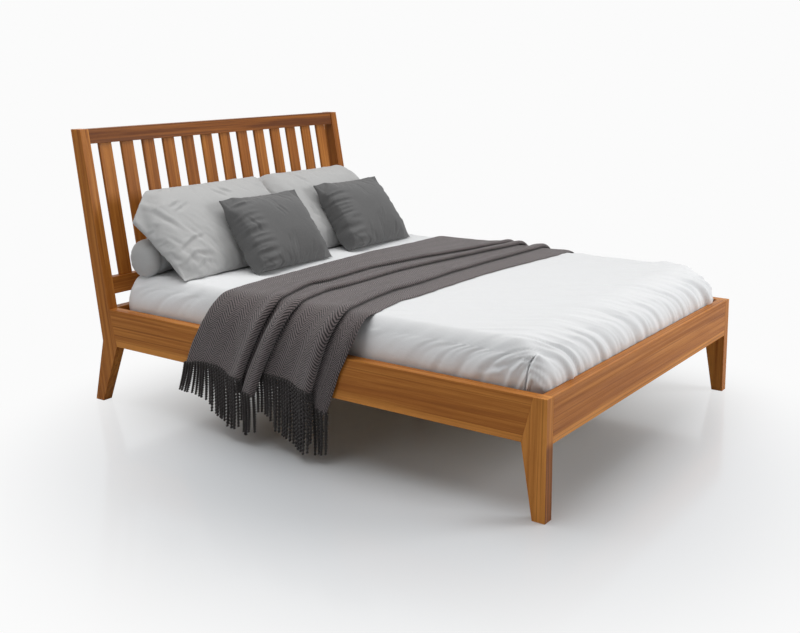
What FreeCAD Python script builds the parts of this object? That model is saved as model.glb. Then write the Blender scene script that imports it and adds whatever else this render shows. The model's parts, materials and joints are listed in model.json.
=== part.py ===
"""Slatted wooden double bed with its mattress and bedding, modelled in millimetres.

X runs across the bed, Y from the foot to the head, Z up.
The origin lies on the floor below the middle of the bed.
"""
import FreeCAD, Part
import math
import os
import Sketcher
from FreeCAD import Placement, Rotation, Vector

# Driving sizes in millimetres; shares are parts of the size that they follow, angles are in degrees.
SIZES = {
    # Mattress and the room that the frame leaves round it
    "mattress_width": "1600",
    "mattress_length": "2000",
    "mattress_height": "200",
    "mattress_edge_radius": "35",
    "mattress_side_gap": "15",
    "mattress_foot_gap": "10",
    "mattress_head_gap": "30",
    "mattress_drop": "57",
    # Legs, posts and rails
    "board_thickness": "45",
    "end_rail_thickness": "40",
    "rail_top": "412",
    "rail_height": "157",
    "joint_slant": "42",
    "leg_top_depth": "50",
    "leg_floor_depth": "48",
    "post_floor_back": "59",
    "post_floor_depth": "48",
    "post_kink_back": "48",
    "post_kink_rise": "13",
    "post_top_depth": "60",
    "cross_rail_setback": "5",
    # Headboard
    "headboard_top": "1168",
    "headboard_lean": "142",
    "head_rail_height": "62",
    "head_rail_depth": "34",
    "head_rail_setback": "4",
    "lower_rail_height": "70",
    "lower_rail_gap": "58",
    "rail_tenon_length": "25",
    "rail_tenon_shoulder": "9",
    "head_slat_count": "13",
    "head_slat_width": "66",
    "head_slat_depth": "14",
    "slat_tenon_length": "14",
    "slat_tenon_shoulder": "3",
    "slat_tenon_margin": "8",
    "joint_clearance": "0.15",
    "cut_overrun": "2",
    # Slatted base
    "base_slat_count": "13",
    "base_slat_width": "90",
    "base_slat_depth": "20",
    "base_slat_end_gap": "5",
    "base_slat_margin": "25",
    "ledge_width": "30",
    "ledge_height": "30",
    "ledge_end_gap": "8",
    "webbing_width": "25",
    "webbing_thickness": "1.2",
    "webbing_place": "500",
    "beam_width": "40",
    "beam_height": "75",
    "hanger_plate": "3",
    "hanger_reach": "50",
    "hanger_flange": "25",
    # Centre leg, its threaded insert and its screw foot
    "center_leg_thickness": "40",
    "center_leg_top_depth": "50",
    "center_leg_bottom_depth": "36",
    "center_leg_lift": "20",
    "insert_radius": "8",
    "insert_length": "14",
    "foot_disc_radius": "20",
    "foot_disc_height": "8",
    "foot_stud_radius": "4",
    "foot_stud_length": "30",
    "foot_hole_spare": "16",
    "stud_clearance": "0.3",
    # Dowels, corner brackets and bolts
    "dowel_radius": "5",
    "dowel_length": "50",
    "dowel_low_share": "0.25",
    "dowel_high_share": "0.75",
    "bracket_plate": "3",
    "bracket_height": "44",
    "bracket_rise": "3",
    "bracket_side_reach": "140",
    "bracket_end_reach": "80",
    "bolt_radius": "4",
    "bolt_length": "26",
    "bolt_head_radius": "7.5",
    "bolt_head_height": "5.5",
    "bolt_leg_place": "24",
    "bolt_rail_place": "100",
    "bolt_end_place": "50",
    # Sheet, bolster, pillows and cushions
    "soft_gap": "0.3",
    "sheet_thickness": "1.5",
    "sheet_hem_lift": "2",
    "bolster_radius": "82",
    "bolster_length": "1580",
    "bolster_end_length": "30",
    "bolster_back": "86",
    "pillow_width": "750",
    "pillow_height": "450",
    "pillow_front_crown": "75",
    "pillow_back_crown": "50",
    "pillow_tilt": "52",
    "pillow_gap": "10",
    "cushion_width": "500",
    "cushion_height": "380",
    "cushion_crown": "62",
    "cushion_tilt": "53",
    "left_cushion_place": "240",
    "left_cushion_step": "20",
    "right_cushion_place": "414",
    # Throw and fringe
    "throw_width": "730",
    "throw_thickness": "6",
    "throw_lift": "0.8",
    "throw_rail_gap": "3",
    "throw_back_gap": "30",
    "throw_near_drop": "150",
    "throw_far_drop": "96",
    "throw_near_sway": "55",
    "throw_far_sway": "55",
    "throw_hem_sway": "62",
    "fold_rise": "16",
    "fold_hang_rise": "32",
    "fringe_count": "46",
    "fringe_length": "150",
    "fringe_root": "4.4",
    "fringe_tip": "3.2",
}

# Places of the throw's folds across its width, counted from the edge nearer the foot.
FOLD_SHARES = (0.19, 0.43, 0.57)
FOLD_WIDTH_SHARE = 0.116

# Stuffed pieces: length of the rounded ends and draw of the sides, by height, and a crest over the crown.
END_ROUND_SHARE = 0.5
SIDE_DRAW_SHARE = 0.02
CREST_SHARE = 1.03
END_SWELL_SHARES = (0.3, 0.70)

# How much rounder than its other edges the mattress is along the foot, by its height.
FOOT_ROUND_SHARE = 0.375

# Rings of the bolster's rounded ends: place on the end's length, and radius there.
BOLSTER_RING_SHARES = ((0.0, 0.70), (0.12, 0.86), (0.45, 0.97), (1.0, 1.0))

# How far the fringe strands differ in length, in two waves along the hem.
FRINGE_WAVE_SHARE = 0.18
FRINGE_WAVES = 2
BEND_STEPS = 4

# Small pegs and their holes are many-sided instead of round.
PEG_SIDES = 12

doc = FreeCAD.newDocument("slatted_bed")
sheet = doc.addObject("Spreadsheet::Sheet", "sizes")
for row, (alias, number) in enumerate(SIZES.items(), start=1):
    sheet.set(f"A{row}", alias)
    sheet.set(f"B{row}", number)
    sheet.setAlias(f"B{row}", alias)
doc.recompute()


class Cells:
    """Gives the expression that reads a size from the sheet."""

    def __getattr__(self, alias):
        return f"sizes.{alias}"


c = Cells()
subparts = {}


def value(expression):
    """Number that an expression of the sheet's sizes comes to."""
    return float(sheet.evalExpression(expression))


# Levels above the floor and lines from the outer face of the foot, as expressions of the sizes.
RAIL_BOTTOM = f"({c.rail_top} - {c.rail_height})"
INNER_HALF = f"({c.mattress_width} / 2 + {c.mattress_side_gap})"
OUTER_HALF = f"({INNER_HALF} + {c.board_thickness})"
MATTRESS_FOOT = f"({c.end_rail_thickness} + {c.mattress_foot_gap})"
MATTRESS_HEAD = f"({MATTRESS_FOOT} + {c.mattress_length})"
HEAD_LINE = f"({MATTRESS_HEAD} + {c.mattress_head_gap})"
OVERALL = f"({HEAD_LINE} + {c.headboard_lean} + {c.post_top_depth})"
SLAT_TOP = f"({c.rail_top} - {c.mattress_drop})"
SLAT_BOTTOM = f"({SLAT_TOP} - {c.base_slat_depth})"
CROSS_LINE = f"({HEAD_LINE} + {c.cross_rail_setback})"
BEAM_BOTTOM = f"({SLAT_BOTTOM} - {c.beam_height})"
COVER = f"({c.soft_gap} + {c.sheet_thickness})"
BED_TOP = f"({SLAT_TOP} + {c.mattress_height} + {COVER})"
TOP_RAIL_BOTTOM = f"({c.headboard_top} - {c.head_rail_height})"
LOWER_RAIL_BOTTOM = f"({c.rail_top} + {c.lower_rail_gap})"
LOWER_RAIL_TOP = f"({LOWER_RAIL_BOTTOM} + {c.lower_rail_height})"
SLAT_GAP = f"((2 * {INNER_HALF} - {c.head_slat_count} * {c.head_slat_width}) / ({c.head_slat_count} + 1))"


def from_foot(line):
    """Y of a line that is measured from the outer face of the foot."""
    return f"({line} - {OVERALL} / 2)"


def lean_line(level, setback):
    """Line from the foot of a point at a level on the headboard's plane, set back behind its front."""
    share = f"({level} - {c.rail_top}) / ({c.headboard_top} - {c.rail_top})"
    return f"({HEAD_LINE} + {c.headboard_lean} * {share} + {setback})"


def place(piece, x="0", y="0", z="0"):
    for axis, expression in zip("xyz", (x, y, z)):
        piece.setExpression(f"Placement.Base.{axis}", expression)
    return piece


def keep(piece, label):
    """Names a piece as a sub-part of the bed."""
    piece.Label = label
    subparts[label] = piece
    return piece


def board(name, outline, start, thickness):
    """Board with an outline in the side view, as (line from the foot, level), padded across the bed."""
    body = doc.addObject("PartDesign::Body", name)
    sketch = body.newObject("Sketcher::SketchObject", name + "_outline")
    side_plane = [plane for plane in body.Origin.OriginFeatures if plane.Role == "YZ_Plane"][0]
    sketch.AttachmentSupport = [(side_plane, "")]
    sketch.MapMode = "FlatFace"
    points = [Vector(value(line), value(level), 0) for line, level in outline]
    count = len(points)
    for i in range(count):
        sketch.addGeometry(Part.LineSegment(points[i], points[(i + 1) % count]), False)
    for i in range(count):
        sketch.addConstraint(Sketcher.Constraint("Coincident", i, 2, (i + 1) % count, 1))
    for i, (line, level) in enumerate(outline):
        for kind, expression, measure, axis in (("DistanceX", line, points[i].x, -2),
                                                ("DistanceY", level, points[i].y, -1)):
            if expression == "0":
                sketch.addConstraint(Sketcher.Constraint("PointOnObject", i, 1, axis))
            else:
                index = sketch.addConstraint(Sketcher.Constraint(kind, -1, 1, i, 1, measure))
                sketch.setExpression(f"Constraints[{index}]", expression)
    pad = body.newObject("PartDesign::Pad", name + "_pad")
    pad.Profile = sketch
    pad.setExpression("Length", thickness)
    return place(body, x=start, y=from_foot("0"))


def box(name, length, width, height, x, y, z):
    piece = doc.addObject("Part::Box", name)
    for prop, expression in (("Length", length), ("Width", width), ("Height", height)):
        piece.setExpression(prop, expression)
    return place(piece, x, y, z)


TURNS = {
    "+x": Rotation(Vector(0, 1, 0), 90),
    "-x": Rotation(Vector(0, 1, 0), -90),
    "+y": Rotation(Vector(1, 0, 0), -90),
    "-y": Rotation(Vector(1, 0, 0), 90),
    "+z": Rotation(),
}


def rod(name, radius, length, x, y, z):
    """Round rod that stands up from a point."""
    piece = doc.addObject("Part::Cylinder", name)
    piece.setExpression("Radius", radius)
    piece.setExpression("Height", length)
    return place(piece, x, y, z)


def peg(name, way, sides, radius, length, x, y, z):
    """Many-sided peg that starts at a point and runs along an axis."""
    piece = doc.addObject("Part::Prism", name)
    piece.Polygon = sides
    piece.setExpression("Circumradius", radius)
    piece.setExpression("Height", length)
    piece.Placement = Placement(Vector(), TURNS[way])
    return place(piece, x, y, z)


def fuse(name, pieces):
    piece = doc.addObject("Part::MultiFuse", name)
    piece.Shapes = pieces
    return piece


def group(name, pieces):
    piece = doc.addObject("Part::Compound", name)
    piece.Links = pieces
    return piece


def cut(name, base, tools):
    """Base with the tools taken out of it."""
    piece = doc.addObject("Part::Cut", name)
    piece.Base = base
    piece.Tool = tools[0] if len(tools) == 1 else group(name + "_tools", tools)
    return piece


def shape_piece(name, shape, placement=Placement()):
    piece = doc.addObject("Part::Feature", name)
    piece.Shape = shape
    piece.Placement = placement
    return piece


# Left is the side at negative X; each side gives the x where a layer on it starts.
SIDES = ("left", "right")


def layer_start(side, inner, thickness):
    """X where a layer begins whose inner face lies at a distance from the middle of the bed."""
    return f"(0 - {inner} - {thickness})" if side == "left" else inner


def signed(side, distance):
    return f"(0 - {distance})" if side == "left" else distance


def outward(side):
    return "-x" if side == "left" else "+x"


# Dowels: each has a tight peg and a slightly larger hole that both joined boards share.
dowels = []
dowel_holes = {"foot_left": [], "foot_right": [], "head_left": [], "head_right": [],
               "side_left": [], "side_right": [], "foot_rail": [], "head_rail": [], "beam": []}


def dowel(name, way, x, y, z, boards):
    """Dowel centred on a joint plane, with its hole noted for the boards that it joins."""
    half = f"({c.dowel_length} / 2)"
    hole_half = f"({half} + {c.joint_clearance})"
    shift = {"+x": (1, 0, 0), "+y": (0, 1, 0), "+z": (0, 0, 1)}[way]
    starts = [f"({at} - {step} * {half})" for at, step in zip((x, y, z), shift)]
    hole_starts = [f"({at} - {step} * {hole_half})" for at, step in zip((x, y, z), shift)]
    dowels.append(peg(name, way, PEG_SIDES, c.dowel_radius, c.dowel_length, *starts))
    hole_radius = f"({c.dowel_radius} + {c.joint_clearance})"
    hole = peg(name + "_hole", way, PEG_SIDES, hole_radius, f"(2 * {hole_half})", *hole_starts)
    for board_name in boards:
        dowel_holes[board_name].append(hole)


FOOT_RAIL_MIDDLE = from_foot(f"{c.end_rail_thickness} / 2")
CROSS_RAIL_MIDDLE = from_foot(f"({CROSS_LINE} + {c.end_rail_thickness} / 2)")
BED_MIDDLE = from_foot(f"({c.end_rail_thickness} + {CROSS_LINE}) / 2")

for side in SIDES:
    for height, share in (("low", c.dowel_low_share), ("high", c.dowel_high_share)):
        level = f"({RAIL_BOTTOM} + {c.rail_height} * {share})"
        slant = f"({c.joint_slant} * (1 - {share}))"
        board_middle = signed(side, f"({INNER_HALF} + {c.board_thickness} / 2)")
        dowel(f"foot_dowel_{side}_{height}", "+x", signed(side, INNER_HALF), FOOT_RAIL_MIDDLE, level,
              (f"foot_{side}", "foot_rail"))
        dowel(f"head_dowel_{side}_{height}", "+x", signed(side, INNER_HALF), CROSS_RAIL_MIDDLE, level,
              (f"head_{side}", "head_rail"))
        dowel(f"leg_dowel_{side}_{height}", "+y", board_middle, from_foot(f"({c.leg_top_depth} + {slant})"),
              level, (f"foot_{side}", f"side_{side}"))
        dowel(f"post_dowel_{side}_{height}", "+y", board_middle, from_foot(f"({HEAD_LINE} - {slant})"),
              level, (f"head_{side}", f"side_{side}"))
dowel("center_leg_dowel", "+z", "0", BED_MIDDLE, BEAM_BOTTOM, ("beam",))
keep(group("dowel_group", dowels), "joint_dowels")
center_leg_dowel_hole = dowel_holes["beam"][0]

# Bolts of the corner brackets, with their holes.
bolts = []
bolt_holes = {name: [] for name in dowel_holes}
BRACKET_BOTTOM = f"({RAIL_BOTTOM} + {c.bracket_rise})"
BOLT_LEVEL = f"({BRACKET_BOTTOM} + {c.bracket_height} / 2)"
BACKWARD = {"+x": "-x", "-x": "+x", "+y": "-y", "-y": "+y"}
HEAD_SIDES = 6


def bolt(name, way, x, y, boards):
    """Bolt whose head bears on a bracket plate at a point and whose shank runs into the wood."""
    head = peg(name + "_head", BACKWARD[way], HEAD_SIDES, c.bolt_head_radius, c.bolt_head_height,
               x, y, BOLT_LEVEL)
    shank = peg(name + "_shank", way, PEG_SIDES, c.bolt_radius, c.bolt_length, x, y, BOLT_LEVEL)
    bolts.append(fuse(name, [head, shank]))
    hole_radius = f"({c.bolt_radius} + {c.joint_clearance})"
    hole_length = f"({c.bolt_length} + {c.joint_clearance})"
    hole = peg(name + "_hole", way, PEG_SIDES, hole_radius, hole_length, x, y, BOLT_LEVEL)
    for board_name in boards:
        bolt_holes[board_name].append(hole)
    return hole


def corner_bracket(end, side):
    """Bent steel angle in an inside corner, bolted to the leg, the side rail and the end rail."""
    name = f"corner_bracket_{end}_{side}"
    plate = c.bracket_plate
    plate_x = layer_start(side, f"({INNER_HALF} - {plate})", plate)
    arm_x = layer_start(side, f"({INNER_HALF} - {c.bracket_end_reach})", c.bracket_end_reach)
    face_x = signed(side, f"({INNER_HALF} - {plate})")
    bolt_x = signed(side, f"({INNER_HALF} - {c.bolt_end_place})")
    if end == "foot":
        corner, step, end_way = c.end_rail_thickness, "1", "-y"
        side_start, arm_start = corner, corner
    else:
        corner, step, end_way = CROSS_LINE, "-1", "+y"
        side_start = f"({corner} - {c.bracket_side_reach})"
        arm_start = f"({corner} - {plate})"
    side_plate = box(name + "_side", plate, c.bracket_side_reach, c.bracket_height,
                     plate_x, from_foot(side_start), BRACKET_BOTTOM)
    end_plate = box(name + "_arm", c.bracket_end_reach, plate, c.bracket_height,
                    arm_x, from_foot(arm_start), BRACKET_BOTTOM)
    way = outward(side)
    holes = [
        bolt(name + "_leg_bolt", way, face_x, from_foot(f"({corner} + {step} * {c.bolt_leg_place})"),
             (f"{end}_{side}",)),
        bolt(name + "_rail_bolt", way, face_x, from_foot(f"({corner} + {step} * {c.bolt_rail_place})"),
             (f"side_{side}",)),
        bolt(name + "_end_bolt", end_way, bolt_x, from_foot(f"({corner} + {step} * {plate})"),
             (f"{end}_rail",)),
    ]
    keep(cut(name + "_drilled", fuse(name + "_angle", [side_plate, end_plate]), holes), name)


for end in ("foot", "head"):
    for side in SIDES:
        corner_bracket(end, side)
keep(group("bolt_group", bolts), "corner_bolts")

# Ledges that carry the slats, glued along the inside of the side rails.
LEDGE_START = f"({c.leg_top_depth} + {c.joint_slant} + {c.ledge_end_gap})"
LEDGE_END = f"({HEAD_LINE} - {c.joint_slant} - {c.ledge_end_gap})"
for side in SIDES:
    keep(box(f"ledge_{side}", c.ledge_width, f"({LEDGE_END} - {LEDGE_START})", c.ledge_height,
             layer_start(side, f"({INNER_HALF} - {c.ledge_width})", c.ledge_width),
             from_foot(LEDGE_START), f"({SLAT_BOTTOM} - {c.ledge_height})"), f"slat_ledge_{side}")


# Headboard rails: a raked block between the posts, with a thinner bar through it as the tenons.
def raked_block(name, low, high, setback, depth, start, length):
    outline = [
        (lean_line(low, setback), low),
        (lean_line(low, f"({setback} + {depth})"), low),
        (lean_line(high, f"({setback} + {depth})"), high),
        (lean_line(high, setback), high),
    ]
    return board(name, outline, start, length)


TENON_SETBACK = f"({c.head_rail_setback} + {c.rail_tenon_shoulder})"
TENON_DEPTH = f"({c.head_rail_depth} - 2 * {c.rail_tenon_shoulder})"
TENON_HALF = f"({INNER_HALF} + {c.rail_tenon_length})"
slat_mortises = {"top": [], "lower": []}
post_mortises = []


def slat_start(index):
    return f"(0 - {INNER_HALF} + {SLAT_GAP} * ({index} + 1) + {c.head_slat_width} * {index})"


def slat_tenon(name, index, shoulder_level, rising, gap):
    """Stub tenon on a slat's end, or its mortise when a gap is given."""
    side_step = f"({c.slat_tenon_margin} - {gap})"
    depth = f"({c.head_slat_depth} - 2 * {c.slat_tenon_shoulder} + 2 * {gap})"
    setback = f"({c.head_rail_setback} + {c.head_rail_depth} / 2 - {depth} / 2)"
    length = f"({c.slat_tenon_length} + {gap})"
    low = f"({shoulder_level} - {c.cut_overrun})" if rising else f"({shoulder_level} - {length})"
    return box(name, f"({c.head_slat_width} - 2 * {side_step})", depth, f"({length} + {c.cut_overrun})",
               f"({slat_start(index)} + {side_step})", from_foot(lean_line(shoulder_level, setback)), low)


for index in range(int(value(c.head_slat_count))):
    name = f"headboard_slat_{index + 1:02d}"
    slat_setback = f"({c.head_rail_setback} + ({c.head_rail_depth} - {c.head_slat_depth}) / 2)"
    blank = raked_block(name + "_blank", LOWER_RAIL_TOP, TOP_RAIL_BOTTOM, slat_setback, c.head_slat_depth,
                        slat_start(index), c.head_slat_width)
    tenons = [slat_tenon(name + "_top_tenon", index, TOP_RAIL_BOTTOM, True, "0"),
              slat_tenon(name + "_low_tenon", index, LOWER_RAIL_TOP, False, "0")]
    keep(fuse(name + "_solid", [blank] + tenons), name)
    top_mortise = slat_tenon(name + "_top_mortise", index, TOP_RAIL_BOTTOM, True, c.joint_clearance)
    low_mortise = slat_tenon(name + "_low_mortise", index, LOWER_RAIL_TOP, False, c.joint_clearance)
    slat_mortises["top"].append(top_mortise)
    slat_mortises["lower"].append(low_mortise)


def headboard_rail(label, low, high, mortises):
    """Cross member of the headboard with a tenon at each end and a row of mortises for the slats."""
    gap = c.joint_clearance
    tenon_low = f"({low} + {c.rail_tenon_shoulder})"
    tenon_high = f"({high} - {c.rail_tenon_shoulder})"
    block = raked_block(label + "_block", low, high, c.head_rail_setback, c.head_rail_depth,
                        f"(0 - {INNER_HALF})", f"(2 * {INNER_HALF})")
    bar = raked_block(label + "_bar", tenon_low, tenon_high, TENON_SETBACK, TENON_DEPTH,
                      f"(0 - {TENON_HALF})", f"(2 * {TENON_HALF})")
    keep(cut(label + "_solid", fuse(label + "_tenoned", [block, bar]), mortises), label)
    post_mortises.append(raked_block(
        label + "_mortise", f"({tenon_low} - {gap})", f"({tenon_high} + {gap})",
        f"({TENON_SETBACK} - {gap})", f"({TENON_DEPTH} + 2 * {gap})",
        f"(0 - {TENON_HALF} - {gap})", f"(2 * {TENON_HALF} + 2 * {gap})"))


headboard_rail("headboard_top_rail", TOP_RAIL_BOTTOM, c.headboard_top, slat_mortises["top"])
headboard_rail("headboard_lower_rail", LOWER_RAIL_BOTTOM, LOWER_RAIL_TOP, slat_mortises["lower"])

# Legs, raked head posts and side rails share the slanted joint lines below the rail tops.
leg_outline = [
    ("0", "0"),
    (c.leg_floor_depth, "0"),
    (f"({c.leg_top_depth} + {c.joint_slant})", RAIL_BOTTOM),
    (c.leg_top_depth, c.rail_top),
    ("0", c.rail_top),
]
post_outline = [
    (f"({HEAD_LINE} + {c.post_floor_back})", "0"),
    (f"({HEAD_LINE} + {c.post_floor_back} + {c.post_floor_depth})", "0"),
    (f"({HEAD_LINE} + {c.post_kink_back})", f"({RAIL_BOTTOM} + {c.post_kink_rise})"),
    (OVERALL, c.headboard_top),
    (f"({HEAD_LINE} + {c.headboard_lean})", c.headboard_top),
    (HEAD_LINE, c.rail_top),
    (f"({HEAD_LINE} - {c.joint_slant})", RAIL_BOTTOM),
]
rail_outline = [
    (f"({c.leg_top_depth} + {c.joint_slant})", RAIL_BOTTOM),
    (f"({HEAD_LINE} - {c.joint_slant})", RAIL_BOTTOM),
    (HEAD_LINE, c.rail_top),
    (c.leg_top_depth, c.rail_top),
]

for side in SIDES:
    start = layer_start(side, INNER_HALF, c.board_thickness)
    leg = board(f"leg_blank_{side}", leg_outline, start, c.board_thickness)
    leg_holes = dowel_holes[f"foot_{side}"] + bolt_holes[f"foot_{side}"]
    keep(cut(f"leg_{side}", leg, leg_holes), f"foot_leg_{side}")
    post = board(f"post_blank_{side}", post_outline, start, c.board_thickness)
    keep(cut(f"post_{side}", post, post_mortises + dowel_holes[f"head_{side}"] + bolt_holes[f"head_{side}"]),
         f"headboard_post_{side}")
    rail = board(f"rail_blank_{side}", rail_outline, start, c.board_thickness)
    rail_holes = dowel_holes[f"side_{side}"] + bolt_holes[f"side_{side}"]
    keep(cut(f"rail_{side}", rail, rail_holes), f"side_rail_{side}")

for end, line in (("foot", "0"), ("head", CROSS_LINE)):
    blank = box(f"{end}_rail_blank", f"(2 * {INNER_HALF})", c.end_rail_thickness, c.rail_height,
                f"(0 - {INNER_HALF})", from_foot(line), RAIL_BOTTOM)
    label = "foot_rail" if end == "foot" else "head_cross_rail"
    keep(cut(f"{end}_rail_drilled", blank, dowel_holes[f"{end}_rail"] + bolt_holes[f"{end}_rail"]), label)

# Centre beam in its two steel hangers.
BEAM_START = f"({c.end_rail_thickness} + {c.hanger_plate} + {c.joint_clearance})"
BEAM_END = f"({CROSS_LINE} - {c.hanger_plate} - {c.joint_clearance})"
beam_blank = box("beam_blank", c.beam_width, f"({BEAM_END} - {BEAM_START})", c.beam_height,
                 f"(0 - {c.beam_width} / 2)", from_foot(BEAM_START), BEAM_BOTTOM)
keep(cut("beam", beam_blank, [center_leg_dowel_hole]), "center_beam")


def beam_hanger(end):
    """Steel stirrup on an end rail: a flanged back plate, two cheeks and a floor under the beam."""
    name = f"beam_hanger_{end}"
    plate, reach = c.hanger_plate, c.hanger_reach
    cheek = f"({c.beam_width} / 2 + {c.joint_clearance})"
    half_back = f"({cheek} + {plate} + {c.hanger_flange})"
    low = f"({BEAM_BOTTOM} - {plate})"
    back_line = c.end_rail_thickness if end == "foot" else f"({CROSS_LINE} - {plate})"
    reach_line = c.end_rail_thickness if end == "foot" else f"({CROSS_LINE} - {reach})"
    y_back, y_reach = from_foot(back_line), from_foot(reach_line)
    tall = f"({c.beam_height} + {plate})"
    keep(fuse(name + "_solid", [
        box(name + "_back", f"(2 * {half_back})", plate, tall, f"(0 - {half_back})", y_back, low),
        box(name + "_floor", f"(2 * {cheek} + 2 * {plate})", reach, plate,
            f"(0 - {cheek} - {plate})", y_reach, low),
        box(name + "_left", plate, reach, tall, f"(0 - {cheek} - {plate})", y_reach, low),
        box(name + "_right", plate, reach, tall, cheek, y_reach, low),
    ]), name)


for end in ("foot", "head"):
    beam_hanger(end)

# Centre leg, the threaded insert in its end and the foot that screws in and out of it.
BED_MIDDLE_LINE = f"({BED_MIDDLE} + {OVERALL} / 2)"
center_leg_outline = [
    (f"({BED_MIDDLE_LINE} - {c.center_leg_bottom_depth} / 2)", c.center_leg_lift),
    (f"({BED_MIDDLE_LINE} + {c.center_leg_bottom_depth} / 2)", c.center_leg_lift),
    (f"({BED_MIDDLE_LINE} + {c.center_leg_top_depth} / 2)", BEAM_BOTTOM),
    (f"({BED_MIDDLE_LINE} - {c.center_leg_top_depth} / 2)", BEAM_BOTTOM),
]
leg_blank = board("center_leg_blank", center_leg_outline, f"(0 - {c.center_leg_thickness} / 2)",
                  c.center_leg_thickness)
STUD_HOLE_RADIUS = f"({c.foot_stud_radius} + {c.stud_clearance})"
stud_hole = rod("center_leg_stud_hole", STUD_HOLE_RADIUS,
                f"({c.foot_disc_height} + {c.foot_stud_length} + {c.foot_hole_spare} - {c.center_leg_lift})",
                "0", BED_MIDDLE, c.center_leg_lift)
insert_hole = rod("center_leg_insert_hole", f"({c.insert_radius} + {c.joint_clearance})", c.insert_length,
                  "0", BED_MIDDLE, c.center_leg_lift)
leg_room = fuse("center_leg_room", [stud_hole, insert_hole])
keep(cut("center_leg_drilled", leg_blank, [leg_room, center_leg_dowel_hole]), "center_leg")
insert_blank = rod("insert_blank", c.insert_radius, c.insert_length, "0", BED_MIDDLE, c.center_leg_lift)
keep(cut("insert_bored", insert_blank, [stud_hole]), "center_leg_insert")
keep(fuse("center_leg_foot_solid", [
    rod("foot_disc", c.foot_disc_radius, c.foot_disc_height, "0", BED_MIDDLE, "0"),
    rod("foot_stud", c.foot_stud_radius, f"({c.foot_disc_height} + {c.foot_stud_length})",
        "0", BED_MIDDLE, "0"),
]), "center_leg_foot")

# Base slats lie on the ledges and the beam, tied together by two tapes below them.
SLATS_START = f"({c.end_rail_thickness} + {c.base_slat_margin})"
SLATS_END = f"({CROSS_LINE} - {c.base_slat_margin})"
BASE_PITCH = f"(({SLATS_END} - {SLATS_START} - {c.base_slat_width}) / ({c.base_slat_count} - 1))"
base_slat_half = f"({INNER_HALF} - {c.base_slat_end_gap})"
for index in range(int(value(c.base_slat_count))):
    label = f"base_slat_{index + 1:02d}"
    keep(box(label + "_solid", f"(2 * {base_slat_half})", c.base_slat_width, c.base_slat_depth,
             f"(0 - {base_slat_half})", from_foot(f"({SLATS_START} + {BASE_PITCH} * {index})"),
             SLAT_BOTTOM), label)
tapes = [box(f"tape_{side}", c.webbing_width, f"({SLATS_END} - {SLATS_START})", c.webbing_thickness,
             f"({signed(side, c.webbing_place)} - {c.webbing_width} / 2)", from_foot(SLATS_START),
             f"({SLAT_BOTTOM} - {c.webbing_thickness})") for side in SIDES]
keep(group("tape_group", tapes), "slat_webbing")


# Mattress with rounded edges and the fitted sheet as a shell over it.
def rounded_block(name, grow, low, high, radius, round_below):
    """Block of the mattress's plan, grown on all sides, with rounded edges, rounder along the foot."""
    body = doc.addObject("PartDesign::Body", name)
    block = body.newObject("PartDesign::AdditiveBox", name + "_block")
    block.setExpression("Length", f"({c.mattress_width} + 2 * {grow})")
    block.setExpression("Width", f"({c.mattress_length} + 2 * {grow})")
    block.setExpression("Height", f"({high} - {low})")
    place(body, f"(0 - {c.mattress_width} / 2 - {grow})", from_foot(f"({MATTRESS_FOOT} - {grow})"), low)
    doc.recompute()
    bounds, touch = block.Shape.BoundBox, value(c.soft_gap)

    def lies_along_foot_top(edge):
        """Whether an edge runs across the bed at the top of the foot, or bounds the rounding there."""
        box = edge.BoundBox
        across = box.XLength > bounds.XLength / 2
        return across and box.YMax < bounds.Center.y and box.ZMin > bounds.ZMin + touch

    foot = body.newObject("PartDesign::Fillet", name + "_foot_rounding")
    edges = enumerate(block.Shape.Edges, start=1)
    foot.Base = (block, [f"Edge{i}" for i, edge in edges if lies_along_foot_top(edge)])
    foot.setExpression("Radius", f"({radius} + {c.mattress_height} * {FOOT_ROUND_SHARE})")
    doc.recompute()
    names = [f"Edge{i}" for i, edge in enumerate(foot.Shape.Edges, start=1)
             if not lies_along_foot_top(edge) and (round_below or edge.BoundBox.ZMax > bounds.ZMin + touch)]
    fillet = body.newObject("PartDesign::Fillet", name + "_rounding")
    fillet.Base = (foot, names)
    fillet.setExpression("Radius", radius)
    return body


MATTRESS_TOP = f"({SLAT_TOP} + {c.mattress_height})"
SHEET_HEM = f"({SLAT_TOP} + {c.sheet_hem_lift})"
keep(rounded_block("mattress_body", "0", SLAT_TOP, MATTRESS_TOP, c.mattress_edge_radius, True), "mattress")
sheet_outer = rounded_block("sheet_outer", COVER, SHEET_HEM, BED_TOP,
                            f"({c.mattress_edge_radius} + {COVER})", False)
sheet_inner = rounded_block("sheet_inner", c.soft_gap, f"({SHEET_HEM} - {c.cut_overrun})",
                            f"({MATTRESS_TOP} + {c.soft_gap})",
                            f"({c.mattress_edge_radius} + {c.soft_gap})", False)
keep(cut("sheet_shell", sheet_outer, [sheet_inner]), "fitted_sheet")

# Bolster: a stuffed roll with rounded ends, lying across the head of the mattress.
BOLSTER_LEVEL = f"({BED_TOP} + {c.soft_gap} + {c.bolster_radius})"
BOLSTER_LINE = f"({MATTRESS_HEAD} - {c.bolster_back})"


def bolster_roll():
    """Ruled loft through rings that stand square to the bolster's own X axis."""
    half, radius, end = value(c.bolster_length) / 2, value(c.bolster_radius), value(c.bolster_end_length)
    left_half = [(end * along - half, radius * wide) for along, wide in BOLSTER_RING_SHARES]
    stations = left_half + [(-x, ring) for x, ring in reversed(left_half)]
    rings = [Part.Wire(Part.makeCircle(ring, Vector(x, 0, 0), Vector(1, 0, 0))) for x, ring in stations]
    return Part.makeLoft(rings, True, True)


bolster = shape_piece("bolster_roll", bolster_roll())
keep(place(bolster, "0", from_foot(BOLSTER_LINE), BOLSTER_LEVEL), "bolster")


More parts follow.
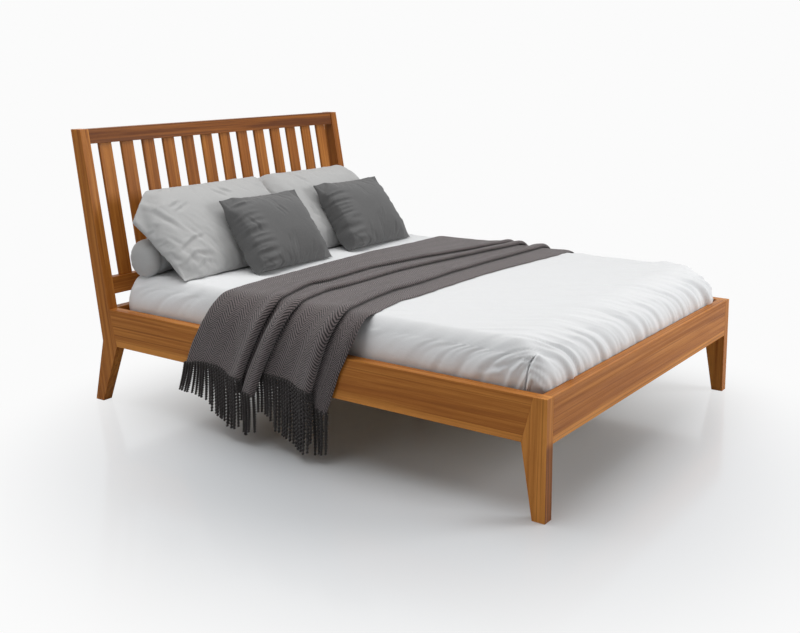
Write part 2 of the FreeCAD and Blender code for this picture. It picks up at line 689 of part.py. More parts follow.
# Pillows and cushions: two crossed barrels share a crown, inside an outline whose sides are drawn in.
def prism(edges, run):
    return Part.Face(Part.Wire([edge.toShape() for edge in edges])).extrude(run)


def stuffed(width, height, front, back):
    """Stuffed case in its own frame: X across, Y up its face from the lower seam, Z out of its front."""
    half, end, draw = width / 2, height * END_ROUND_SHARE, height * SIDE_DRAW_SHARE
    low, high, middle = Vector(-half, 0, 0), Vector(-half, height, 0), Vector(-half, height / 2, 0)
    upright = prism([Part.Arc(low, middle + Vector(0, 0, front), high),
                     Part.Arc(high, middle - Vector(0, 0, back), low)], Vector(width, 0, 0))

    def crossing(rise):
        """Half of the barrel across the piece: rounded up from each end to a straight crest."""
        crest = rise * CREST_SHARE
        swell, swell_rise = end * END_SWELL_SHARES[0], crest * END_SWELL_SHARES[1]
        left, right = Vector(-half, 0, 0), Vector(half, 0, 0)
        crest_left, crest_right = Vector(end - half, 0, crest), Vector(half - end, 0, crest)
        return [Part.Arc(left, Vector(swell - half, 0, swell_rise), crest_left),
                Part.LineSegment(crest_left, crest_right),
                Part.Arc(crest_right, Vector(half - swell, 0, swell_rise), right)]

    seam = Part.LineSegment(Vector(half, 0, 0), Vector(-half, 0, 0))
    lying = prism(crossing(front) + [seam], Vector(0, height, 0))
    below = prism(crossing(-back) + [seam], Vector(0, height, 0))
    corners = [Vector(-half, 0, -height), Vector(half, 0, -height),
               Vector(half, height, -height), Vector(-half, height, -height)]
    pulls = [Vector(0, draw, 0), Vector(-draw, 0, 0), Vector(0, -draw, 0), Vector(draw, 0, 0)]
    sides = [Part.Arc(corner, (corner + corners[(i + 1) % 4]) / 2 + pulls[i], corners[(i + 1) % 4])
             for i, corner in enumerate(corners)]
    outline = prism(sides, Vector(0, 0, 2 * height))
    return upright.common(lying.fuse(below)).common(outline).removeSplitter().Solids[0]


def arc_radius(chord, rise):
    return (chord * chord / 4 + rise * rise) / (2 * rise)


def lean_frame(tilt):
    """Directions in the side view, as (y, z): up the leaning face, and out of its back."""
    angle = math.radians(tilt)
    return (math.cos(angle), math.sin(angle)), (math.sin(angle), -math.cos(angle))


def arc_centre(foot, up, normal, chord, rise):
    """Centre of the arc that bulges by rise along a normal, over a chord that starts at foot."""
    inset = arc_radius(chord, rise) - rise
    return tuple(foot[i] + up[i] * chord / 2 - normal[i] * inset for i in (0, 1))


def lean_against(centre, radius, level, chord, rise, tilt, gap):
    """Y of the lower seam of a piece whose back arc just clears a round thing behind it."""
    up, back = lean_frame(tilt)
    offset = arc_centre((0, level), up, back, chord, rise)
    reach = arc_radius(chord, rise) + radius + gap
    drop = offset[1] - centre[1]
    return centre[0] - math.sqrt(reach * reach - drop * drop) - offset[0]


gap = value(c.soft_gap)
seat_level = value(BED_TOP) + gap
pillow_height, pillow_tilt = value(c.pillow_height), value(c.pillow_tilt)
front_crown, back_crown = value(c.pillow_front_crown), value(c.pillow_back_crown)
bolster_centre = (value(from_foot(BOLSTER_LINE)), value(BOLSTER_LEVEL))
pillow_foot = lean_against(bolster_centre, value(c.bolster_radius), seat_level, pillow_height, back_crown,
                           pillow_tilt, gap)
pillow_shape = stuffed(value(c.pillow_width), pillow_height, front_crown, back_crown)
pillow_place = (value(c.pillow_width) + value(c.pillow_gap)) / 2
for side in SIDES:
    x = value(signed(side, str(pillow_place)))
    lean = Placement(Vector(x, pillow_foot, seat_level), Rotation(Vector(1, 0, 0), pillow_tilt))
    keep(shape_piece(f"pillow_{side}_solid", pillow_shape, lean), f"pillow_{side}")

pillow_up, pillow_back = lean_frame(pillow_tilt)
pillow_front = tuple(-part for part in pillow_back)
pillow_centre = arc_centre((pillow_foot, seat_level), pillow_up, pillow_front, pillow_height, front_crown)
cushion_height, cushion_crown = value(c.cushion_height), value(c.cushion_crown)
cushion_foot = lean_against(pillow_centre, arc_radius(pillow_height, front_crown), seat_level, cushion_height,
                            cushion_crown, value(c.cushion_tilt), gap)
cushion_shape = stuffed(value(c.cushion_width), cushion_height, cushion_crown, cushion_crown)
lean_back = Rotation(Vector(1, 0, 0), value(c.cushion_tilt))
for side, across, forward in (("left", c.left_cushion_place, value(c.left_cushion_step)),
                              ("right", c.right_cushion_place, 0)):
    spot = Vector(value(signed(side, across)), cushion_foot - forward, seat_level)
    keep(shape_piece(f"cushion_{side}_solid", cushion_shape, Placement(spot, lean_back)), f"cushion_{side}")


# Throw: a ruled loft of one pleated section, carried over both edges of the mattress and down past the rails.
def throw_section(x, z, angle, middle, rise, stretch):
    """Pleated section of the throw at a place on its way across the bed, facing out at an angle."""
    width, thick = value(c.throw_width), value(c.throw_thickness)
    half_fold = width * FOLD_WIDTH_SHARE / 2

    def at(across, out):
        reach = out * stretch
        return Vector(x + reach * math.cos(angle), middle - width / 2 + across, z + reach * math.sin(angle))

    edges = [Part.LineSegment(at(width, 0), at(0, 0)), Part.LineSegment(at(0, 0), at(0, thick))]
    across = 0
    for share in FOLD_SHARES:
        ridge = width * share
        edges.append(Part.LineSegment(at(across, thick), at(ridge - half_fold, thick)))
        crest_point = at(ridge, thick + rise)
        edges.append(Part.Arc(at(ridge - half_fold, thick), crest_point, at(ridge + half_fold, thick)))
        across = ridge + half_fold
    edges.append(Part.LineSegment(at(across, thick), at(width, thick)))
    edges.append(Part.LineSegment(at(width, thick), at(width, 0)))
    return Part.Wire([edge.toShape() for edge in edges])


def throw_side(side, hem_level, middle, hem_middle):
    """Sections from the hem on one side up to the flat of the bed."""
    sign = -1 if side == "left" else 1
    lift = value(c.throw_lift)
    bend = value(c.mattress_edge_radius) + value(COVER) + lift
    bend_x = value(c.mattress_width) / 2 - value(c.mattress_edge_radius)
    bend_z = value(BED_TOP) + lift - bend
    hang_x = value(OUTER_HALF) + value(c.throw_rail_gap)
    rail_z = value(c.rail_top)
    flat_rise, hang_rise = value(c.fold_rise), value(c.fold_hang_rise)
    distance = math.hypot(hang_x - bend_x, bend_z - rail_z)
    slope = math.atan2(bend_z - rail_z, hang_x - bend_x) + math.asin(bend / distance)
    shoulder = math.pi / 2 - slope

    def facing(angle):
        return angle if sign > 0 else math.pi - angle

    sections = [throw_section(sign * hang_x, hem_level, facing(0), hem_middle, hang_rise, 1),
                throw_section(sign * hang_x, rail_z, facing(shoulder / 2), (middle + hem_middle) / 2, hang_rise,
                              1 / math.cos(shoulder / 2))]
    for step in range(BEND_STEPS + 1):
        share = step / BEND_STEPS
        angle = shoulder + (math.pi / 2 - shoulder) * share
        sections.append(throw_section(sign * (bend_x + bend * math.cos(angle)), bend_z + bend * math.sin(angle),
                                      facing(angle), middle, hang_rise + (flat_rise - hang_rise) * share, 1))
    return sections


throw_middle = cushion_foot - value(c.throw_back_gap) - value(c.throw_width) / 2
near_hem = value(c.rail_top) - value(c.throw_near_drop)
far_hem = value(c.rail_top) - value(c.throw_far_drop)
near_middle = throw_middle - value(c.throw_near_sway)
far_middle = throw_middle - value(c.throw_far_sway)
near_hem_middle = throw_middle + value(c.throw_hem_sway)
crest = throw_section(0, value(BED_TOP) + value(c.throw_lift), math.pi / 2, throw_middle, value(c.fold_rise), 1)
throw_sections = throw_side("left", near_hem, near_middle, near_hem_middle) + [crest]
throw_sections += list(reversed(throw_side("right", far_hem, far_middle, far_middle)))
keep(shape_piece("throw_solid", Part.makeLoft(throw_sections, True, True)), "throw_blanket")


# Fringe: tapering strands that hang from both hems, in two waves of length.
def square_ring(x, y, z, side):
    half = side / 2
    corners = [Vector(x - half, y - half, z), Vector(x + half, y - half, z),
               Vector(x + half, y + half, z), Vector(x - half, y + half, z)]
    return Part.makePolygon(corners + corners[:1])


def fringe_strands(side, hem_level, middle):
    sign = -1 if side == "left" else 1
    count = int(value(c.fringe_count))
    width, length = value(c.throw_width), value(c.fringe_length)
    root, tip = value(c.fringe_root), value(c.fringe_tip)
    x = sign * (value(OUTER_HALF) + value(c.throw_rail_gap) + value(c.throw_thickness) / 2)
    strands = []
    for index in range(count):
        share = (index + 0.5) / count
        reach = length * (1 + FRINGE_WAVE_SHARE * math.sin(2 * math.pi * FRINGE_WAVES * share))
        y = middle + width * (share - 0.5)
        ends = [square_ring(x, y, hem_level, root), square_ring(x, y, hem_level - reach, tip)]
        strands.append(Part.makeLoft(ends, True, True))
    return strands


strands = fringe_strands("left", near_hem, near_hem_middle) + fringe_strands("right", far_hem, far_middle)
keep(shape_piece("fringe_solid", Part.makeCompound(strands)), "throw_fringe")

doc.recompute()
faults = [item.Name for item in doc.Objects if "Invalid" in item.State or "Error" in item.State]
for label, piece in subparts.items():
    if piece.Shape.isNull() or not piece.Shape.isValid() or not piece.Shape.Solids:
        faults.append(label)
if faults:
    raise RuntimeError("These objects failed: " + ", ".join(faults))

os.makedirs("parts", exist_ok=True)
for label, piece in subparts.items():
    piece.Shape.exportStep(f"parts/{label}.step")
print(len(subparts), "sub-parts written")
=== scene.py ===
# %% [markdown]
# # A wooden double bed, dressed
# The CAD model holds the bed's frame, its joints and a closed solid for each soft piece.
# This lesson gives those pieces their surfaces: oiled wood with grain along each board,
# wrinkled cotton, stuffed pillows and a herringbone throw with a twisted fringe.
# Everything is in metres, in the frame of the CAD model: X across the bed, Y to the head, Z up.

# %% Load the frame
import json
import math
import bmesh
import bpy
import numpy as np
from mathutils import Matrix, Vector, noise
from mathutils.bvhtree import BVHTree


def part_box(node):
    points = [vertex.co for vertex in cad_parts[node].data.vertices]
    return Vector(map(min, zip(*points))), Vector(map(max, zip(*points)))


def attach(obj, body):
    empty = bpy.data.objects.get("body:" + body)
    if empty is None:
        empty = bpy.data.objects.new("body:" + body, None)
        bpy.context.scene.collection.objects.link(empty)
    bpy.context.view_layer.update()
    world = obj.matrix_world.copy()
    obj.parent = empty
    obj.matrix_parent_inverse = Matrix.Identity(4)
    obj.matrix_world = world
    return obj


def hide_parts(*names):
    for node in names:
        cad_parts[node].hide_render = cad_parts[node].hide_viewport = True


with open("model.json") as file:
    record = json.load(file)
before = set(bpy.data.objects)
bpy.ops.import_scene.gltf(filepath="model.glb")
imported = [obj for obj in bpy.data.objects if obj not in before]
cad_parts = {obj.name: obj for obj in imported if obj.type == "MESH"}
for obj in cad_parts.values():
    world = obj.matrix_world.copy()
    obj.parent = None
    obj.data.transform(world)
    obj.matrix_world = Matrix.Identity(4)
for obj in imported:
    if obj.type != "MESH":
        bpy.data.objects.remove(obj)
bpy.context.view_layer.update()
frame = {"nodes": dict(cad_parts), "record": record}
scene = bpy.context.scene
scene.view_settings.view_transform = "Standard"
BED = "bed"
FOOT = "screw_foot"
SLOT_OF = {part["node"]: part["material_slot"] for part in frame["record"]["subparts"]}

# %% [markdown]
# ## Camera
# The photograph fixes the view. Its focal length and the point where the line of sight meets the
# picture were worked out from the corners of the frame, with the mattress as the known length.
# The line of sight meets the picture above its middle, which a lens shift reproduces.

# %% Camera
IMAGE_WIDTH, IMAGE_HEIGHT = 800, 633
FOCAL_PX = 1071
SIGHT_PX = (400.5, 210.5)
CAMERA_SPOT = (-3.761, -2.636, 1.484)
CAMERA_YAW = math.radians(54.64)
CAMERA_PITCH = math.radians(8.31)

camera_data = bpy.data.cameras.new("camera")
camera_data.sensor_width = 36
camera_data.lens = camera_data.sensor_width * FOCAL_PX / IMAGE_WIDTH
camera_data.shift_x = (IMAGE_WIDTH / 2 - SIGHT_PX[0]) / IMAGE_WIDTH
camera_data.shift_y = (SIGHT_PX[1] - IMAGE_HEIGHT / 2) / IMAGE_WIDTH
camera = bpy.data.objects.new("camera", camera_data)
camera.location = CAMERA_SPOT
camera.rotation_euler = (math.pi / 2 - CAMERA_PITCH, 0, -CAMERA_YAW)
scene.collection.objects.link(camera)
scene.camera = camera
print("lens:", round(camera_data.lens, 1), "mm, shift:", round(camera_data.shift_y, 3))

# %% [markdown]
# ## Node trees in a few words
# A procedural material is a small graph. The helper below adds a node, sets its fields and feeds its
# inputs in one call, so that a material reads as a list of steps. A value that is the same all over
# goes straight to its socket.

# %% Graph helper
class Graph:
    """Node graph of one material, whose last node is a Principled BSDF."""

    def __init__(self, name, **sockets):
        self.material = bpy.data.materials.new(name)
        self.material.use_nodes = True
        self.tree = self.material.node_tree
        self.shader = self.tree.nodes["Principled BSDF"]
        self.feed(self.shader, sockets)

    def feed(self, node, sockets):
        for key, value in sockets.items():
            socket = node.inputs[key if isinstance(key, int) else key.replace("_", " ")]
            if isinstance(value, bpy.types.NodeSocket):
                self.tree.links.new(value, socket)
            else:
                socket.default_value = value

    def add(self, kind, fields=None, sockets=None, out=0):
        node = self.tree.nodes.new(kind)
        for key, value in (fields or {}).items():
            setattr(node, key, value)
        self.feed(node, sockets or {})
        return node.outputs[out]

    def math(self, operation, first, second=0.0):
        return self.add("ShaderNodeMath", {"operation": operation}, {0: first, 1: second})

    def weighted(self, *shares):
        """Sum of some values, each times its weight."""
        parts = [self.math("MULTIPLY", value, weight) for value, weight in shares]
        total = parts[0]
        for part in parts[1:]:
            total = self.math("ADD", total, part)
        return total

    def attribute(self, name, out):
        return self.add("ShaderNodeAttribute", {"attribute_name": name}, out=out)

    def place(self):
        return self.add("ShaderNodeTexCoord", out="Object")

    def stretched(self, vector, scale, turn=(0, 0, 0)):
        return self.add("ShaderNodeMapping", sockets={"Vector": vector, "Scale": scale, "Rotation": turn})

    def noise(self, vector, scale, detail=3.0, roughness=0.5, distortion=0.0):
        return self.add("ShaderNodeTexNoise", sockets={
            "Vector": vector, "Scale": scale, "Detail": detail, "Roughness": roughness,
            "Distortion": distortion})

    def ramp(self, factor, stops):
        color = self.add("ShaderNodeValToRGB", sockets={"Fac": factor})
        ramp = color.node.color_ramp
        while len(ramp.elements) < len(stops):
            ramp.elements.new(0.5)
        for element, (position, tone) in zip(ramp.elements, stops):
            element.position = position
            element.color = (*tone, 1.0)
        return color

    def mix(self, blend, factor, first, second):
        return self.add("ShaderNodeMix", {"data_type": "RGBA", "blend_type": blend},
                        {0: factor, 6: first, 7: second}, out=2)

    def between(self, value, low, high, to_low=0.0, to_high=1.0):
        return self.add("ShaderNodeMapRange", sockets={
            "Value": value, "From Min": low, "From Max": high, "To Min": to_low, "To Max": to_high})

    def bump(self, height, distance, strength=1.0, normal=None):
        sockets = {"Height": height, "Distance": distance, "Strength": strength}
        if normal is not None:
            sockets["Normal"] = normal
        return self.add("ShaderNodeBump", sockets=sockets)

    def finish(self, **sockets):
        self.feed(self.shader, sockets)
        return self.material


print("graph steps:", [name for name in vars(Graph) if not name.startswith("_")])

# %% [markdown]
# ## Floor and light
# The bed stands on a pale studio floor that runs into a white background. The floor is a real
# surface close to the bed, so that it takes a shadow and a faint reflection of the legs. Further out
# it turns into the background's own white for the camera alone, so no horizon shows.

# %% Floor and light
FLOOR_SIZE = 60.0
FLOOR_NEAR, FLOOR_FAR = 0.6, 1.85
FLOOR_CENTRE = (-0.42, -0.42, 0)
FLOOR_COLOR = (0.69, 0.715, 0.74, 1)
FLOOR_GLOSS = 0.13
BACKGROUND_WHITE = 0.965
WORLD_LIGHT = 0.185


def stage_floor():
    mesh = bpy.data.meshes.new("floor")
    half = FLOOR_SIZE / 2
    corners = [(-half, -half, 0), (half, -half, 0), (half, half, 0), (-half, half, 0)]
    mesh.from_pydata(corners, [], [(0, 1, 2, 3)])
    graph = Graph("floor", Roughness=FLOOR_GLOSS, IOR=1.33, Base_Color=FLOOR_COLOR)
    away = graph.add("ShaderNodeVectorMath", {"operation": "DISTANCE"},
                     {0: graph.place(), 1: FLOOR_CENTRE}, out="Value")
    share = graph.add("ShaderNodeMapRange", {"interpolation_type": "SMOOTHSTEP"},
                      {"Value": away, "From Min": FLOOR_NEAR, "From Max": FLOOR_FAR})
    seen = graph.add("ShaderNodeLightPath", out="Is Camera Ray")
    glow = graph.add("ShaderNodeEmission", sockets={"Color": (BACKGROUND_WHITE,) * 3 + (1,)})
    blend = graph.add("ShaderNodeMixShader", sockets={
        0: graph.math("MULTIPLY", share, seen), 1: graph.shader.outputs[0], 2: glow})
    graph.tree.links.new(blend, graph.tree.nodes["Material Output"].inputs["Surface"])
    mesh.materials.append(graph.material)
    floor = bpy.data.objects.new("floor", mesh)
    scene.collection.objects.link(floor)


def studio_world(strength):
    world = bpy.data.worlds.new("studio")
    world.use_nodes = True
    scene.world = world
    tree = world.node_tree
    lit = tree.nodes["Background"]
    lit.inputs["Color"].default_value = (1, 1, 1, 1)
    lit.inputs["Strength"].default_value = strength
    shown = tree.nodes.new("ShaderNodeBackground")
    shown.inputs["Color"].default_value = (BACKGROUND_WHITE,) * 3 + (1,)
    path = tree.nodes.new("ShaderNodeLightPath")
    seen = tree.nodes.new("ShaderNodeMath")
    seen.operation = "MAXIMUM"
    blend = tree.nodes.new("ShaderNodeMixShader")
    tree.links.new(path.outputs["Is Camera Ray"], seen.inputs[0])
    tree.links.new(path.outputs["Is Glossy Ray"], seen.inputs[1])
    tree.links.new(seen.outputs[0], blend.inputs[0])
    tree.links.new(lit.outputs[0], blend.inputs[1])
    tree.links.new(shown.outputs[0], blend.inputs[2])
    tree.links.new(blend.outputs[0], tree.nodes["World Output"].inputs["Surface"])


def soft_box(name, spot, aim, size, power):
    light = bpy.data.lights.new(name, "AREA")
    light.shape = "RECTANGLE"
    light.size, light.size_y = size
    light.energy = power
    lamp = bpy.data.objects.new(name, light)
    lamp.location = spot
    lamp.rotation_euler = (Vector(aim) - Vector(spot)).to_track_quat("-Z", "Y").to_euler()
    scene.collection.objects.link(lamp)


stage_floor()
studio_world(WORLD_LIGHT)
soft_box("top_light", (-0.6, 0.3, 4.6), (0, 0, 0.4), (4.5, 4.5), 160)
soft_box("left_light", (-5.2, 0.6, 2.6), (0, 0, 0.4), (3.0, 2.4), 24)
soft_box("foot_light", (2.6, -4.8, 2.3), (0, -0.6, 0.4), (2.4, 2.0), 142)

# %% [markdown]
# ## Oiled wood
# The frame is solid hardwood. Each board has its own grain: growth rings are long cones around the
# tree's heart, so the rings are drawn as distances from an axis that lies beside the board, warped
# along its length. A board's longest direction gives the grain's direction. It is stored in each
# mesh as an attribute, so one material serves boards that lie, stand or lean.

# %% Wood material
def oiled_wood(name, dark, middle, light, ring_spacing, gloss):
    graph = Graph(name, Roughness=gloss, Specular_IOR_Level=0.17)
    grain = graph.attribute("grain", "Vector")
    tone = graph.attribute("tone", "Fac")
    warp = graph.noise(graph.stretched(grain, (0.9, 5, 5)), 1.0, 3.0, 0.55)
    parts = graph.add("ShaderNodeSeparateXYZ", sockets={0: grain})
    across, deep = parts.node.outputs[1], parts.node.outputs[2]
    radius = graph.math("SQRT", graph.math("ADD", graph.math("POWER", across, 2.0),
                                           graph.math("POWER", deep, 2.0)))
    bent = graph.math("ADD", radius, graph.math("MULTIPLY", warp, 0.07))
    ring = graph.math("SINE", graph.math("MULTIPLY", bent, 2 * math.pi / ring_spacing))
    ring = graph.between(ring, -1.0, 1.0)
    streak = graph.noise(graph.stretched(grain, (0.75, 88, 88)), 1.0, 6.0, 0.64, 0.25)
    vein = graph.noise(graph.stretched(grain, (0.5, 125, 125)), 1.0, 2.0, 0.5, 0.2)
    vein = graph.between(vein, 0.59, 0.68)
    fibre = graph.noise(graph.stretched(grain, (7, 420, 420)), 1.0, 3.0, 0.6)
    pore = graph.between(graph.noise(graph.stretched(grain, (26, 1300, 1300)), 1.0, 2.0), 0.60, 0.72)
    zone = graph.noise(graph.stretched(grain, (0.7, 19, 19)), 1.0, 2.0, 0.5, 0.6)
    mixed = graph.weighted((graph.between(streak, 0.26, 0.74), 0.32), (ring, 0.10),
                           (graph.between(zone, 0.3, 0.7), 0.28), (fibre, 0.30),
                           (graph.math("SUBTRACT", tone, 0.5), 0.42))
    color = graph.ramp(mixed, [(0.16, dark), (0.50, middle), (0.88, light)])
    color = graph.mix("MULTIPLY", graph.math("MULTIPLY", vein, 0.55), color, (0.46, 0.36, 0.28, 1))
    color = graph.mix("MULTIPLY", graph.math("MULTIPLY", pore, 0.45), color, (0.42, 0.34, 0.28, 1))
    height = graph.math("SUBTRACT", fibre, graph.math("MULTIPLY", pore, 0.6))
    rough = graph.between(streak, 0.3, 0.7, gloss + 0.08, gloss - 0.06)
    return graph.finish(Base_Color=color, Roughness=rough, Normal=graph.bump(height, 0.0004, 0.35))


WOODS = {
    "oiled_wood": oiled_wood("oiled_wood", dark=(0.135, 0.036, 0.0045), middle=(0.375, 0.124, 0.0190),
                             light=(0.64, 0.262, 0.052), ring_spacing=0.021, gloss=0.42),
    "pale_wood": oiled_wood("pale_wood", dark=(0.42, 0.27, 0.14), middle=(0.62, 0.44, 0.25),
                            light=(0.74, 0.57, 0.36), ring_spacing=0.017, gloss=0.6)}
print("woods:", list(WOODS))

# %% [markdown]
# ## Boards with eased edges
# A sawn edge is never knife sharp: a maker breaks it with sandpaper, and that thin band catches the
# light. Each board is a copy of its CAD mesh, merged into whole faces and bevelled by a millimetre or
# two. The copy stands for the CAD node, which stays as it is.

# %% Board helpers
EASED_EDGE = 0.0022
SHORTEST_EASED = 0.014
FLAT_ANGLE = math.radians(1.0)
SHARP_ANGLE = math.radians(25)


def merged_copy(node):
    """Copy of a CAD node's mesh with its triangles joined into whole faces."""
    bm = bmesh.new()
    bm.from_mesh(frame["nodes"][node].data)
    bmesh.ops.remove_doubles(bm, verts=bm.verts, dist=1e-5)
    bmesh.ops.dissolve_limit(bm, angle_limit=FLAT_ANGLE, verts=bm.verts, edges=bm.edges)
    return bm


def ease_edges(bm, width, shortest=SHORTEST_EASED):
    sharp = [edge for edge in bm.edges if len(edge.link_faces) == 2
             and edge.calc_face_angle(0) > SHARP_ANGLE and edge.calc_length() > shortest]
    bmesh.ops.bevel(bm, geom=sharp, offset=width, offset_type="OFFSET", segments=2, profile=0.5,
                    affect="EDGES", clamp_overlap=True)


def placed(name, mesh, slot, body=BED):
    """Puts a finished mesh in the scene, on the body that it moves with."""
    piece = bpy.data.objects.new(name, mesh)
    scene.collection.objects.link(piece)
    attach(piece, body)
    return piece


def new_piece(name, bm, material, slot, body=BED):
    mesh = bpy.data.meshes.new(name)
    bm.to_mesh(mesh)
    bm.free()
    mesh.materials.append(material)
    return placed(name, mesh, slot, body)


def points_of(mesh):
    flat = np.empty(len(mesh.vertices) * 3, np.float32)
    mesh.vertices.foreach_get("co", flat)
    return flat.reshape(-1, 3).astype(float)


def store(mesh, name, values):
    """Keeps one number or one vector for each point of a mesh, as an attribute."""
    kind, key = ("FLOAT", "value") if np.ndim(values) == 1 else ("FLOAT_VECTOR", "vector")
    layer = mesh.attributes.get(name) or mesh.attributes.new(name, kind, "POINT")
    layer.data.foreach_set(key, np.asarray(values, np.float32).ravel())


print("sample board:", len(merged_copy("foot_rail").faces), "whole faces on the foot rail")

# %% [markdown]
# ## One board after another
# Neighbouring boards of one bed differ in tone, because they come from different trees. Most get a tone by
# chance, and those that the photograph shows well have one of their own. The rails are glued up: a lighter
# strip runs along the lower edge. The near leg's foot face gets painted shade: it is darker below the rail,
# and keeps the rail's tone at rail height. Tone and grain are stored for each point, so they are plain data,
# and no picture is needed.

# %% Boards
LAMINATED = ("foot_rail", "side_rail_left", "side_rail_right")
STRIP_HEIGHT, STRIP_TONE = 0.024, 1.2
STRIP_GRAIN = (7.0, 0.02, 0.05)
TONES = {"headboard_top_rail": -0.15, "headboard_post_left": 0.72, "foot_rail": 0.64,
         "foot_leg_left": 1.08, "side_rail_left": 0.78, "foot_leg_right": 0.95}
CHANCE_TONES = (0.32, 0.68)
# Painted shade: the near leg's foot face is darkened below the rail; the first tone is the one at rail
# height.
FOOT_FACE_TONE_AND_SHADE = {"foot_leg_left": (0.64, -0.2)}
TONE_RUN = 0.012
rail_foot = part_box("foot_rail")[0].z
rng = np.random.default_rng(7)


def wood_places(points, heart):
    """Where each point lies in the board's own wood: along the grain, across it and in depth."""
    centred = points - points.mean(0)
    axes = np.linalg.svd(centred, full_matrices=False)[2]
    axes *= np.where(axes[np.arange(3), np.abs(axes).argmax(1)] < 0, -1, 1)[:, None]
    return centred @ axes.T + heart


def level_cut(bm, level):
    """Cuts the faces of a board along a level line and gives the new edges."""
    found = bmesh.ops.bisect_plane(bm, geom=bm.verts[:] + bm.edges[:] + bm.faces[:], dist=1e-6,
                                   plane_co=(0, 0, level), plane_no=(0, 0, 1))
    return [item for item in found["geom_cut"] if isinstance(item, bmesh.types.BMEdge)]


def points_of_faces(mesh, chosen):
    """Marks the points of the faces that a test chooses."""
    marked = np.zeros(len(mesh.vertices), bool)
    for polygon in mesh.polygons:
        if chosen(polygon):
            marked[list(polygon.vertices)] = True
    return marked


def board(node, material, slot):
    bm = merged_copy(node)
    ease_edges(bm, EASED_EDGE)
    heart = np.array([rng.uniform(0, 40), rng.uniform(-0.03, 0.03), rng.uniform(0.05, 0.12)])
    board_tone = TONES.get(node, rng.uniform(*CHANCE_TONES))
    strip_top = min(vert.co.z for vert in bm.verts) + STRIP_HEIGHT
    if node in LAMINATED:
        bmesh.ops.split_edges(bm, edges=level_cut(bm, strip_top))
    if node in FOOT_FACE_TONE_AND_SHADE:
        level_cut(bm, rail_foot + TONE_RUN)
        level_cut(bm, rail_foot - TONE_RUN)
    piece = new_piece(node + "_board", bm, material, slot)
    points = points_of(piece.data)
    wood = wood_places(points, heart)
    tone = np.full(len(points), board_tone)
    if node in LAMINATED:
        strip = points_of_faces(piece.data, lambda polygon: polygon.center.z < strip_top)
        wood[strip] += STRIP_GRAIN
        tone[strip] = STRIP_TONE
    # Painted shade on the near leg's foot face: darker below the rail's lower edge.
    if node in FOOT_FACE_TONE_AND_SHADE:
        above, below = FOOT_FACE_TONE_AND_SHADE[node]
        face = points_of_faces(piece.data, lambda polygon: polygon.normal.y < -0.95)
        tone[face] = np.where(points[face, 2] > rail_foot, above, below)
    store(piece.data, "grain", wood)
    store(piece.data, "tone", tone)
    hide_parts(node)
    return piece


boards = [board(node, WOODS[slot], slot) for node, slot in sorted(SLOT_OF.items()) if slot in WOODS]
print("boards:", len(boards))

# %% [markdown]
# ## Steel and plastic below the bed
# Brackets, hangers and bolts are zinc plated: a cool grey metal with small cloudy crystals. The foot
# of the middle leg is moulded plastic. These are hard parts of the right shape, so their edges are
# only eased.

# %% Hardware
EASED_HARDWARE, SHORTEST_HARDWARE = 0.0006, 0.004


def zinc_steel():
    graph = Graph("zinc_steel", Metallic=1.0)
    cloud = graph.noise(graph.place(), 90, 4.0, 0.6)
    color = graph.ramp(cloud, [(0.3, (0.42, 0.43, 0.45)), (0.7, (0.66, 0.66, 0.66))])
    return graph.finish(Base_Color=color, Roughness=graph.between(cloud, 0.3, 0.7, 0.5, 0.3))


def foot_plastic():
    graph = Graph("foot_plastic", Roughness=0.5)
    grit = graph.noise(graph.place(), 900, 2.0)
    color = graph.ramp(grit, [(0.3, (0.018, 0.018, 0.018)), (0.7, (0.034, 0.034, 0.034))])
    return graph.finish(Base_Color=color, Normal=graph.bump(grit, 0.0002, 0.4))


ZINC = zinc_steel()
PLASTIC = foot_plastic()


def hardware(node, ending, material, body):
    bm = merged_copy(node)
    ease_edges(bm, EASED_HARDWARE, SHORTEST_HARDWARE)
    piece = new_piece(node + ending, bm, material, SLOT_OF[node], body)
    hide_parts(node)


metal_nodes = [node for node, slot in SLOT_OF.items() if slot == "zinc_steel"]
for node in metal_nodes:
    hardware(node, "_metal", ZINC, BED)
hardware("center_leg_foot", "_moulding", PLASTIC, FOOT)
print("hardware:", len(metal_nodes) + 1)

# %% [markdown]
# ## Cotton, linen and wool
# Cloth is never one flat colour. Its threads vary a little, its surface is crumpled at the scale of a
# finger, and it is dull with a soft sheen at grazing angles. One function makes the plain cloths: the
# crumple and the thread are bumps, and the larger wrinkles are modelled in the meshes.

# %% Plain cloth
def plain_cloth(name, color, crumple_scale, crumple_depth, thread_scale, variation, sheen):
    graph = Graph(name, Roughness=0.85, Sheen_Weight=sheen, Sheen_Roughness=0.5)
    place = graph.place()
    crumple = graph.noise(place, crumple_scale, 4.0, 0.5, 0.7)
    thread = graph.noise(graph.stretched(place, (1, 1, 3)), thread_scale, 2.0, 0.5)
    slub = graph.noise(graph.stretched(place, (1, 9, 1)), thread_scale * 0.12, 2.0, 0.5)
    shade = graph.weighted((thread, 0.6), (slub, 0.4))
    low = tuple(channel * (1 - variation) for channel in color)
    high = tuple(channel * (1 + variation) for channel in color)
    tint = graph.ramp(shade, [(0.32, low), (0.68, high)])
    fine = graph.bump(thread, 0.0003, 0.5)
    return graph.finish(Base_Color=tint, Normal=graph.bump(crumple, crumple_depth, 0.6, fine))


